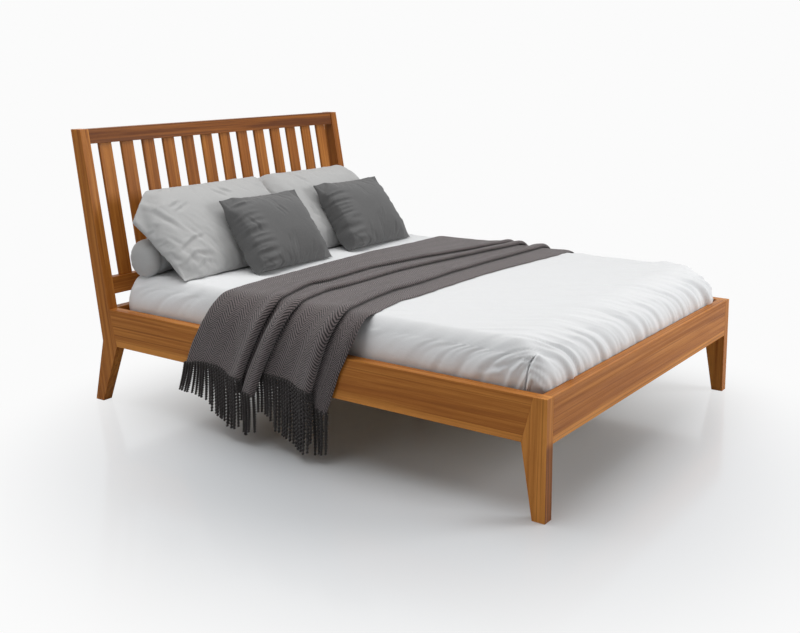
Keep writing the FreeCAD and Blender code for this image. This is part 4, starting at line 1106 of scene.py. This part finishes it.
def hang_points(hem):
    """From a hem up over the full, soft shoulder of the bed's edge, on the positive side."""
    points = [(hang_x + HEM_OUT, hem), (hang_x, side_high.z - 0.06)]
    for step in range(SHOULDER_STEPS + 1):
        angle = math.pi / 2 * step / SHOULDER_STEPS
        points.append((shoulder_x + (hang_x - shoulder_x) * math.cos(angle) ** (2 / SHOULDER_POWER),
                       shoulder_z + (path_top - shoulder_z) * math.sin(angle) ** (2 / SHOULDER_POWER)))
    return points


def resampled(points, spacing):
    """Evenly spaced points along a line of straight runs, with its corners softened."""
    points = np.array(points)
    runs = np.concatenate([[0], np.cumsum(np.linalg.norm(np.diff(points, axis=0), axis=1))])
    count = round(runs[-1] / spacing) + 1
    places = np.linspace(0, runs[-1], count)
    line = np.stack([np.interp(places, runs, points[:, axis]) for axis in range(points.shape[1])], 1)
    for _ in range(4):
        line[1:-1] = (line[:-2] + 2 * line[1:-1] + line[2:]) / 4
    return places, line


near = [(-x, z) for x, z in hang_points(near_hem - HEM_SPARE)]
path_place, path_line = resampled(near + hang_points(FAR_HEM)[::-1], PATH_STEP)
path_place = path_place - HEM_SPARE
tangent = np.gradient(path_line, axis=0)
tangent /= np.linalg.norm(tangent, axis=1, keepdims=True)
path_out = np.stack([-tangent[:, 1], tangent[:, 0]], 1)
THROW_LENGTH = path_place[-1]
print("throw path:", round(THROW_LENGTH, 3), "m from hem to hem")

# %% [markdown]
# ## Folds of the throw
# The five guides are the two edges and the three folds, each as a line: place along the path, place along
# the bed. They spread where the throw hangs down. A section is a row of knots. Each knot lies
# between two guides by a share, with an offset, a height above the path and how far it hangs past the hem.
# A tucked fold adds knots for its round edge, the turn below it and the layer that comes out again.

# %% Throw guides
GUIDES = {
    "back": ((-0.09, 0.500), (0.008, 0.465), (0.039, 0.453), (0.081, 0.434), (0.131, 0.405), (0.190, 0.371),
             (0.245, 0.342), (0.287, 0.325), (0.326, 0.318), (0.378, 0.323), (0.458, 0.333), (0.584, 0.343),
             (0.787, 0.347), (1.02, 0.358), (1.33, 0.365), (1.50, 0.349), (1.70, 0.335), (2.25, 0.330)),
    "fold_1": ((-0.09, 0.185), (-0.04, 0.167), (0.014, 0.148), (0.075, 0.123), (0.143, 0.089), (0.210, 0.053),
               (0.277, 0.025), (0.350, 0.042), (0.429, 0.069), (0.587, 0.110), (0.669, 0.093), (0.809, 0.100),
               (0.994, 0.112), (1.155, 0.087), (1.319, 0.066), (1.88, -0.070), (2.25, -0.085)),
    "fold_2": ((-0.09, 0.103), (-0.023, 0.076), (0.031, 0.054), (0.091, 0.025), (0.165, -0.016),
               (0.228, -0.053), (0.304, -0.073), (0.401, -0.044), (0.537, -0.020), (0.642, -0.030),
               (0.808, -0.026), (1.006, -0.022), (1.165, -0.035), (1.60, -0.090), (1.88, -0.130),
               (2.25, -0.150)),
    "fold_3": ((-0.09, -0.160), (-0.004, -0.192), (0.054, -0.211), (0.130, -0.238), (0.197, -0.265),
               (0.255, -0.285), (0.301, -0.292), (0.394, -0.272), (0.550, -0.244), (0.694, -0.230),
               (0.865, -0.238), (1.12, -0.226), (1.42, -0.235), (1.79, -0.255), (2.25, -0.265)),
    "front": ((-0.09, -0.252), (-0.03, -0.274), (0.033, -0.296), (0.096, -0.318), (0.166, -0.355),
              (0.219, -0.376), (0.270, -0.386), (0.312, -0.387), (0.382, -0.383), (0.486, -0.358),
              (0.587, -0.343), (0.696, -0.353), (0.88, -0.350), (1.20, -0.345), (1.51, -0.372),
              (1.81, -0.404), (2.25, -0.410)),
}
FOLD_PROFILE = ((0.045, 0.013), (0.018, 0.0195), (0.003, 0.0215), (-0.007, 0.0150), (-0.002, 0.0095),
                (0.012, 0.0088), (0.017, 0.0064), (0.012, 0.0040), (-0.010, 0.0032))
UPPER_KNOTS = 5


def fold_knots(guide, hem_above, hem_below):
    """One tucked fold: a rounded edge, the turn under it and the layer that comes out below."""
    knots = []
    for i, (offset, height) in enumerate(FOLD_PROFILE):
        knots.append((guide, guide, 0.0, offset, height, hem_above if i < UPPER_KNOTS else hem_below))
    return knots


SECTION = [("back", "back", 0.0, 0.0, 0.0015, 0.008), ("back", "back", 0.0, -0.012, 0.0035, 0.006),
           ("back", "fold_1", 0.3, 0.0, 0.0045, -0.010), ("back", "fold_1", 0.62, 0.0, 0.0070, -0.007)]
SECTION += fold_knots("fold_1", 0.013, 0.071)
SECTION += [("fold_1", "fold_2", 0.45, 0.0, 0.0060, 0.079)]
SECTION += fold_knots("fold_2", 0.064, -0.018)
SECTION += [("fold_2", "fold_3", 0.25, 0.0, 0.0040, -0.019), ("fold_2", "fold_3", 0.55, 0.0, 0.0065, -0.017)]
SECTION += fold_knots("fold_3", -0.004, 0.040)
SECTION += [("fold_3", "front", 0.45, 0.0, 0.0042, 0.060), ("fold_3", "front", 0.8, 0.0, 0.0050, 0.070),
            ("front", "front", 0.0, 0.006, 0.0030, 0.072), ("front", "front", 0.0, 0.0, 0.0012, 0.072)]


print("throw section:", len(SECTION), "knots between", len(GUIDES), "guides")

# %% Throw section
SECTION_SPACING = 0.007
GUIDE_STEPS, GUIDE_BLUR = 600, 11
HANG_SWELL, HANG_SPREAD = 0.75, 0.3
RIPPLE, FINE_RIPPLE, HANG_WAVE, EDGE_WAVE = 0.0030, 0.0016, 0.010, 0.004


def guide_at(name, place):
    """Where a guide lies at places along the path, with its corners softened."""
    places, across = zip(*GUIDES[name])
    fine = np.linspace(places[0], places[-1], GUIDE_STEPS)
    line = np.interp(fine, places, across)
    kernel = np.hanning(2 * GUIDE_BLUR + 1)
    padded = np.pad(line, GUIDE_BLUR, mode="edge")
    return np.interp(place, fine, np.convolve(padded, kernel / kernel.sum(), mode="valid"))


def smooth_through(knots, counts):
    """Catmull-Rom curve through rows of knots, with a count of steps for each gap."""
    padded = np.concatenate([2 * knots[:1] - knots[1:2], knots, 2 * knots[-1:] - knots[-2:-1]])
    rows = []
    for i, count in enumerate(counts):
        before, start, end, after = padded[i:i + 4]
        square, cube = 2 * before - 5 * start + 4 * end - after, 3 * start - before - 3 * end + after
        for step in range(count):
            t = step / count
            rows.append(0.5 * (2 * start + (end - before) * t + square * t ** 2 + cube * t ** 3))
    rows.append(knots[-1])
    return np.array(rows)


share = np.linspace(0, 1, len(path_place))
knots = []
for guide, other, part, offset, height, hem in SECTION:
    place = -hem + (THROW_LENGTH + hem) * share
    first, second = guide_at(guide, place), guide_at(other, place)
    hang = ease(place, 0.42, 0.22) + 0.5 * ease(place, THROW_LENGTH - 0.35, THROW_LENGTH - 0.2)
    knots.append(np.stack([place, first + (second - first) * part + offset * (1 + HANG_SPREAD * hang),
                           height * (1 + HANG_SWELL * hang)], 1))
knots = np.array(knots)
middle = knots[:, len(share) // 3, 1:]
gaps = np.linalg.norm(np.diff(middle, axis=0), axis=1)
counts = [max(2, round(gap / SECTION_SPACING)) for gap in gaps]
section = smooth_through(knots, counts)
place, across, height = section[:, :, 0], section[:, :, 1], section[:, :, 2]
rows = np.linspace(0, 1, len(section))[:, None]
flat = np.stack([place.ravel(), across.ravel(), np.zeros(place.size)], 1)


def cloth_noise(scale, seed):
    return field(flat, scale, seed).reshape(place.shape)


ripple = RIPPLE * cloth_noise((3.0, 9, 1), 6.1) + FINE_RIPPLE * cloth_noise((8, 22, 1), 1.3)
wave = HANG_WAVE * cloth_noise((2.0, 6.5, 1), 3.7) * ease(place, 0.40, 0.15)
height = height + ripple * ease(height, 0.003, 0.008) + np.maximum(wave, -0.004)
height = np.maximum(height, 0.0010)
edge = np.minimum(rows, 1 - rows)
across = across + EDGE_WAVE * cloth_noise((18, 0.5, 1), 8.8) * ease(edge, 0.06, 0.0)
x = np.interp(place, path_place, path_line[:, 0]) + height * np.interp(place, path_place, path_out[:, 0])
z = np.interp(place, path_place, path_line[:, 1]) + height * np.interp(place, path_place, path_out[:, 1])
throw_points = np.stack([x, across, z], 2)
print("throw grid:", throw_points.shape[:2])

# %% [markdown]
# ## Herringbone wool
# Herringbone is a twill whose diagonal turns round every few centimetres. The pattern follows the
# cloth, so it reads a UV map in metres: along the throw and across it. Diagonal threads come from
# the sum or the difference of the two, and the sign changes from one column to the next.

# %% Throw cloth
HERRINGBONE_COLUMN = 0.034
HERRINGBONE_THREAD = 0.0112
THROW_THICKNESS = 0.0026


def herringbone_wool():
    graph = Graph("taupe_wool", Roughness=0.92, Sheen_Weight=0.25, Sheen_Roughness=0.6)
    cloth = graph.add("ShaderNodeUVMap", {"uv_map": "cloth"})
    parts = graph.add("ShaderNodeSeparateXYZ", sockets={0: cloth})
    along, over = parts.node.outputs[0], parts.node.outputs[1]
    column = graph.math("DIVIDE", over, HERRINGBONE_COLUMN)
    swing = graph.math("PINGPONG", column, 1.0)
    diagonal = graph.math("ADD", along, graph.math("MULTIPLY", swing, HERRINGBONE_COLUMN))
    uneven = graph.noise(graph.stretched(cloth, (60, 60, 1)), 1.0, 3.0, 0.6)
    phase = graph.math("ADD", graph.math("DIVIDE", diagonal, HERRINGBONE_THREAD),
                       graph.math("MULTIPLY", uneven, 0.9))
    thread = graph.between(graph.math("SINE", graph.math("MULTIPLY", phase, 2 * math.pi)), -0.8, 0.8)
    yarn = graph.noise(graph.stretched(cloth, (500, 900, 1)), 1.0, 2.0, 0.6)
    worn = graph.noise(graph.stretched(cloth, (2.2, 9, 1)), 1.0, 3.0, 0.6)
    value = graph.weighted((thread, 0.78), (yarn, 0.14), (worn, 0.20))
    color = graph.ramp(value, [(0.18, (0.009, 0.0065, 0.0063)), (0.55, (0.058, 0.0442, 0.0434)),
                               (0.95, (0.180, 0.141, 0.140))])
    height = graph.math("ADD", thread, graph.math("MULTIPLY", yarn, 0.5))
    return graph.finish(Base_Color=color, Normal=graph.bump(height, 0.0016, 0.8))


WOOL = herringbone_wool()
steps, columns = throw_points.shape[1], throw_points.shape[0]
faces = grid_faces(columns, steps)
throw = mesh_piece("throw_cloth", throw_points.reshape(-1, 3), faces, WOOL, "taupe_wool")
row = throw_points[:, steps // 3]
over = np.concatenate([[0], np.cumsum(np.linalg.norm(np.diff(row, axis=0), axis=1))])
uv = np.stack([place, np.repeat(over[:, None], steps, 1)], 2).reshape(-1, 2)
corner = np.empty(len(throw.data.loops), np.int32)
throw.data.loops.foreach_get("vertex_index", corner)
throw.data.uv_layers.new(name="cloth").data.foreach_set("uv", uv[corner].astype(np.float32).ravel())
body = throw.modifiers.new("thickness", "SOLIDIFY")
body.thickness = THROW_THICKNESS
body.offset = 0
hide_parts("throw_blanket")

# %% [markdown]
# ## Copies by Geometry Nodes
# The fringe and the screws are one shape repeated at many points, which is what Geometry Nodes are for.
# Three helpers serve both trees: one makes a tree with named inputs, one links its nodes from a list, and
# one runs it on a mesh and keeps the result as a plain mesh, because instances don't survive an export.

# %% Node trees for copies
def copy_tree(name, inputs, result):
    """Geometry Nodes tree with its two end nodes, and the identifiers of its named inputs."""
    tree = bpy.data.node_groups.new(name, "GeometryNodeTree")
    sockets = {}
    for title, kind in inputs.items():
        socket = tree.interface.new_socket(name=title, in_out="INPUT", socket_type="NodeSocket" + kind)
        sockets[title] = socket.identifier
    tree.interface.new_socket(name=result, in_out="OUTPUT", socket_type="NodeSocketGeometry")
    return tree, sockets, tree.nodes.new("NodeGroupInput"), tree.nodes.new("NodeGroupOutput")


def wire(tree, *links):
    """Links nodes: from a node's output to a node's input, in each row."""
    for source, out, target, into in links:
        tree.links.new(source.outputs[out], target.inputs[into])


def made_by_nodes(name, mesh, tree, sockets, values, slot):
    """Runs a tree on a mesh and keeps the result as a plain mesh."""
    base = bpy.data.objects.new(name + "_base", mesh)
    scene.collection.objects.link(base)
    nodes = base.modifiers.new("copies", "NODES")
    nodes.node_group = tree
    for title, value in values.items():
        nodes[sockets[title]] = value
    made = bpy.data.meshes.new_from_object(base.evaluated_get(bpy.context.evaluated_depsgraph_get()))
    bpy.data.objects.remove(base)
    made.name = name
    return placed(name, made, slot)


print("trees so far:", len(bpy.data.node_groups))

# %% [markdown]
# ## Fringe
# The warp threads of the throw are twisted into cords below each hem. The hem is resampled to one point
# for each cord, and each point gets a copy of one twisted cord, with its own length, swing and a little
# chance. The lengths follow a line along each hem, because the folds of the throw hang at different
# heights: place along the bed, length of the cords there.

# %% Twisted cord
CORD_RADIUS = 0.0090
CORD_TURNS = 8
CORD_RINGS, CORD_SIDES = 60, 8
CORD_BOW, CORD_TAPER = 0.004, 0.35


def twisted_cord():
    """One cord of unit length, two strands twisted together, hanging down from its root."""
    rings = []
    angle = np.linspace(0, 2 * math.pi, CORD_SIDES, endpoint=False)
    for ring in range(CORD_RINGS):
        share = ring / (CORD_RINGS - 1)
        twist = angle + 2 * math.pi * CORD_TURNS * share
        taper = 1 - CORD_TAPER * share ** 3
        radius = CORD_RADIUS * taper * (0.66 + 0.38 * np.cos(2 * angle))
        bow = CORD_BOW * math.sin(math.pi * share)
        level = np.full_like(angle, -share)
        rings.append(np.stack([radius * np.cos(twist) + bow, radius * np.sin(twist), level], 1))
    faces = grid_faces(CORD_RINGS, CORD_SIDES, closed=True)
    last = (CORD_RINGS - 1) * CORD_SIDES
    faces.append(tuple(range(CORD_SIDES))[::-1])
    faces.append(tuple(range(last, last + CORD_SIDES)))
    mesh = bpy.data.meshes.new("cord")
    mesh.from_pydata([tuple(point) for point in np.concatenate(rings)], [], faces)
    bm = bmesh.new()
    bm.from_mesh(mesh)
    bmesh.ops.recalc_face_normals(bm, faces=bm.faces)
    bm.to_mesh(mesh)
    bm.free()
    cord = bpy.data.objects.new("cord", mesh)
    scene.collection.objects.link(cord)
    return cord


cord = twisted_cord()
print("cord:", len(cord.data.polygons), "faces")

# %% Fringe tree
def fringe_tree():
    """Geometry Nodes: one copy of a cord at each of a number of points along a hem."""
    tree, sockets, given, result = copy_tree("fringe", {
        "Hem": "Geometry", "Cord": "Object", "Spacing": "Float", "Swing": "Float", "Seed": "Int",
        "Yarn": "Material"}, "Fringe")
    add = tree.nodes.new
    line, points = add("GeometryNodeMeshToCurve"), add("GeometryNodeResampleCurve")
    cord, copies = add("GeometryNodeObjectInfo"), add("GeometryNodeInstanceOnPoints")
    hang, size = add("GeometryNodeInputNamedAttribute"), add("GeometryNodeInputNamedAttribute")
    chance, swing = add("FunctionNodeRandomValue"), add("ShaderNodeVectorMath")
    turn, real = add("ShaderNodeVectorMath"), add("GeometryNodeRealizeInstances")
    finish = add("GeometryNodeSetMaterial")
    chance.data_type = hang.data_type = size.data_type = "FLOAT_VECTOR"
    hang.inputs["Name"].default_value = "hang"
    size.inputs["Name"].default_value = "size"
    swing.operation, turn.operation = "SCALE", "ADD"
    points.mode = "LENGTH"
    chance.inputs["Min"].default_value = (-1, -1, -12)
    chance.inputs["Max"].default_value = (1, 1, 12)
    wire(tree, (given, "Hem", line, "Mesh"), (line, "Curve", points, "Curve"),
         (given, "Spacing", points, "Length"), (points, "Curve", copies, "Points"),
         (given, "Cord", cord, "Object"), (cord, "Geometry", copies, "Instance"),
         (given, "Seed", chance, "Seed"), (chance, "Value", swing, 0), (given, "Swing", swing, "Scale"),
         (swing, "Vector", turn, 0), (hang, "Attribute", turn, 1), (turn, "Vector", copies, "Rotation"),
         (size, "Attribute", copies, "Scale"), (copies, "Instances", real, "Geometry"),
         (real, "Geometry", finish, "Geometry"), (given, "Yarn", finish, "Material"),
         (finish, "Geometry", result, "Fringe"))
    return tree, sockets


fringe_nodes, fringe_sockets = fringe_tree()
print("fringe inputs:", list(fringe_sockets))

# %% Fringe
CORD_SPACING, CORD_SWING = 0.0150, 0.03
ROOT_LIFT = 0.012
NEAR_REACH = ((-0.26, 0.150), (-0.21, 0.165), (-0.19, 0.232), (-0.11, 0.226), (-0.01, 0.205), (0.03, 0.155),
              (0.06, 0.145), (0.10, 0.138), (0.145, 0.150), (0.165, 0.196), (0.27, 0.195), (0.32, 0.187),
              (0.34, 0.146), (0.47, 0.118))
FAR_REACH = ((-0.4, 0.15), (0.0, 0.165), (0.35, 0.15))


def taupe_yarn():
    graph = Graph("taupe_yarn", Roughness=0.95, Sheen_Weight=0.2)
    strand = graph.noise(graph.stretched(graph.place(), (400, 400, 90)), 1.0, 3.0, 0.6)
    color = graph.ramp(strand, [(0.3, (0.008, 0.0066, 0.0062)), (0.7, (0.050, 0.041, 0.040))])
    return graph.finish(Base_Color=color, Normal=graph.bump(strand, 0.0006, 0.6))


def hem_line(column):
    """A hem without the cloth that is tucked out of sight: its points in order from head to foot."""
    row = throw_points[:, column]
    shown = np.concatenate([[True], row[1:, 1] < np.minimum.accumulate(row[:, 1])[:-1] - 1e-5])
    return row[shown]


def fringe(name, hem, reach, seed, splay):
    """Cords along the level runs of a hem. Those near the head edge splay outwards."""
    step = np.abs(np.diff(hem, axis=0))
    level = np.flatnonzero(step[:, 2] < 1.2 * step[:, 1] + 0.002)
    roots = hem + [0, 0, ROOT_LIFT]
    mesh = bpy.data.meshes.new(name + "_hem")
    mesh.from_pydata([tuple(point) for point in roots], [(int(i), int(i) + 1) for i in level], [])
    length = np.interp(hem[:, 1], *np.array(reach).T) + ROOT_LIFT
    full, none = np.ones_like(length), np.zeros_like(length)
    store(mesh, "size", np.stack([full, full, length], 1))
    store(mesh, "hang", np.stack([splay * ease(hem[:, 1], 0.30, 0.46), none, none], 1))
    values = {"Cord": cord, "Spacing": CORD_SPACING, "Swing": CORD_SWING, "Seed": seed, "Yarn": YARN}
    piece = made_by_nodes(name, mesh, fringe_nodes, fringe_sockets, values, "taupe_wool")
    piece.data.shade_smooth()
    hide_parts("throw_fringe")
    return piece


YARN = taupe_yarn()
near_fringe = fringe("throw_fringe_near", hem_line(0), NEAR_REACH, seed=11, splay=0.32)
far_fringe = fringe("throw_fringe_far", hem_line(-1), FAR_REACH, seed=23, splay=0.1)
bpy.data.objects.remove(cord)
print("fringe:", len(near_fringe.data.polygons) + len(far_fringe.data.polygons), "faces")

# %% [markdown]
# ## Webbing
# Two woven tapes run along under the base slats and keep them apart. They are flat, so their CAD shape is
# right, and only their edges are eased.

# %% Webbing
EASED_TAPE, SHORTEST_TAPE = 0.0003, 0.004
bm = merged_copy("slat_webbing")
ease_edges(bm, EASED_TAPE, SHORTEST_TAPE)
webbing = new_piece("slat_webbing_tape", bm, WEBBING, "webbing")
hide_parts("slat_webbing")
print("webbing:", len(webbing.data.polygons), "faces")

# %% [markdown]
# ## Screws
# Rows of screws hold the ledges to the rails, and four hold each hanger. One low head with a recess is
# modelled, and Geometry Nodes set it at each point, along the point's own direction and turned by chance, as
# a screwdriver leaves it.

# %% Screw head
SCREW_RADIUS, SCREW_RISE = 0.0055, 0.0016


def drawn_out(bm, faces, rise, scale):
    """Extrudes faces, moves the new ones up or down and scales them."""
    made = bmesh.ops.extrude_face_region(bm, geom=faces)
    verts = [item for item in made["geom"] if isinstance(item, bmesh.types.BMVert)]
    bmesh.ops.translate(bm, verts=verts, vec=(0, 0, rise))
    bmesh.ops.scale(bm, verts=verts, vec=scale)


def screw_head():
    """Low head with a slanted rim and a recess, facing up."""
    bm = bmesh.new()
    bmesh.ops.create_circle(bm, cap_ends=True, segments=12, radius=SCREW_RADIUS)
    drawn_out(bm, bm.faces[:], SCREW_RISE, (0.62, 0.62, 1))
    cap = max(bm.faces, key=lambda face: face.calc_center_median().z)
    bmesh.ops.inset_individual(bm, faces=[cap], thickness=SCREW_RADIUS * 0.25)
    drawn_out(bm, [cap], -SCREW_RISE * 0.7, (0.35, 0.9, 1))
    mesh = bpy.data.meshes.new("screw")
    bm.to_mesh(mesh)
    bm.free()
    head = bpy.data.objects.new("screw", mesh)
    scene.collection.objects.link(head)
    return head


head = screw_head()
print("screw head:", len(head.data.polygons), "faces")

# %% Screw tree
def screw_tree():
    """Geometry Nodes: one screw head at each point, along the point's own direction."""
    tree, sockets, given, result = copy_tree("screws", {
        "Points": "Geometry", "Head": "Object", "Seed": "Int", "Steel": "Material"}, "Screws")
    add = tree.nodes.new
    points, copies = add("GeometryNodeMeshToPoints"), add("GeometryNodeInstanceOnPoints")
    head, facing = add("GeometryNodeObjectInfo"), add("GeometryNodeInputNamedAttribute")
    align, chance = add("FunctionNodeAlignRotationToVector"), add("FunctionNodeRandomValue")
    spin, real = add("GeometryNodeRotateInstances"), add("GeometryNodeRealizeInstances")
    angle, finish = add("ShaderNodeCombineXYZ"), add("GeometryNodeSetMaterial")
    facing.data_type = "FLOAT_VECTOR"
    facing.inputs["Name"].default_value = "facing"
    align.axis = "Z"
    chance.data_type = "FLOAT"
    chance.inputs[3].default_value = math.pi
    wire(tree, (given, "Points", points, "Mesh"), (points, "Points", copies, "Points"),
         (given, "Head", head, "Object"), (head, "Geometry", copies, "Instance"),
         (facing, "Attribute", align, "Vector"), (align, "Rotation", copies, "Rotation"),
         (given, "Seed", chance, "Seed"), (chance, 1, angle, "Z"),
         (copies, "Instances", spin, "Instances"), (angle, "Vector", spin, "Rotation"),
         (spin, "Instances", real, "Geometry"), (real, "Geometry", finish, "Geometry"),
         (given, "Steel", finish, "Material"), (finish, "Geometry", result, "Screws"))
    return tree, sockets


screw_nodes, screw_sockets = screw_tree()
print("screw inputs:", list(screw_sockets))

# %% Screws
SCREWS_PER_LEDGE = 9
HANGER_PLATE, HANGER_INSET = 0.003, 0.013
HANGER_LEVELS = (0.3, 0.75)


def screw_spots():
    """Place and direction of each screw: rows along the ledges, and four in each hanger."""
    spots = []
    for side, toward in (("left", 1), ("right", -1)):
        low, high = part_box(f"slat_ledge_{side}")
        inner = high.x if side == "left" else low.x
        for i in range(SCREWS_PER_LEDGE):
            along = low.y + (high.y - low.y) * (i + 0.5) / SCREWS_PER_LEDGE
            spots.append(((inner, along, (low.z + high.z) / 2), (toward, 0, 0)))
    for end, toward in (("foot", 1), ("head", -1)):
        low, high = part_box(f"beam_hanger_{end}")
        plate = low.y + HANGER_PLATE if end == "foot" else high.y - HANGER_PLATE
        for x in (low.x + HANGER_INSET, high.x - HANGER_INSET):
            for share in HANGER_LEVELS:
                spots.append(((x, plate, low.z + (high.z - low.z) * share), (0, toward, 0)))
    return zip(*spots)


places, facings = screw_spots()
mesh = bpy.data.meshes.new("screw_points")
mesh.from_pydata(places, [], [])
store(mesh, "facing", np.array(facings))
screws = made_by_nodes("frame_screws", mesh, screw_nodes, screw_sockets,
                       {"Head": head, "Seed": 5, "Steel": ZINC}, "zinc_steel")
bpy.data.objects.remove(head)
print("screws:", len(places), "with", len(screws.data.polygons), "faces")

# %% [markdown]
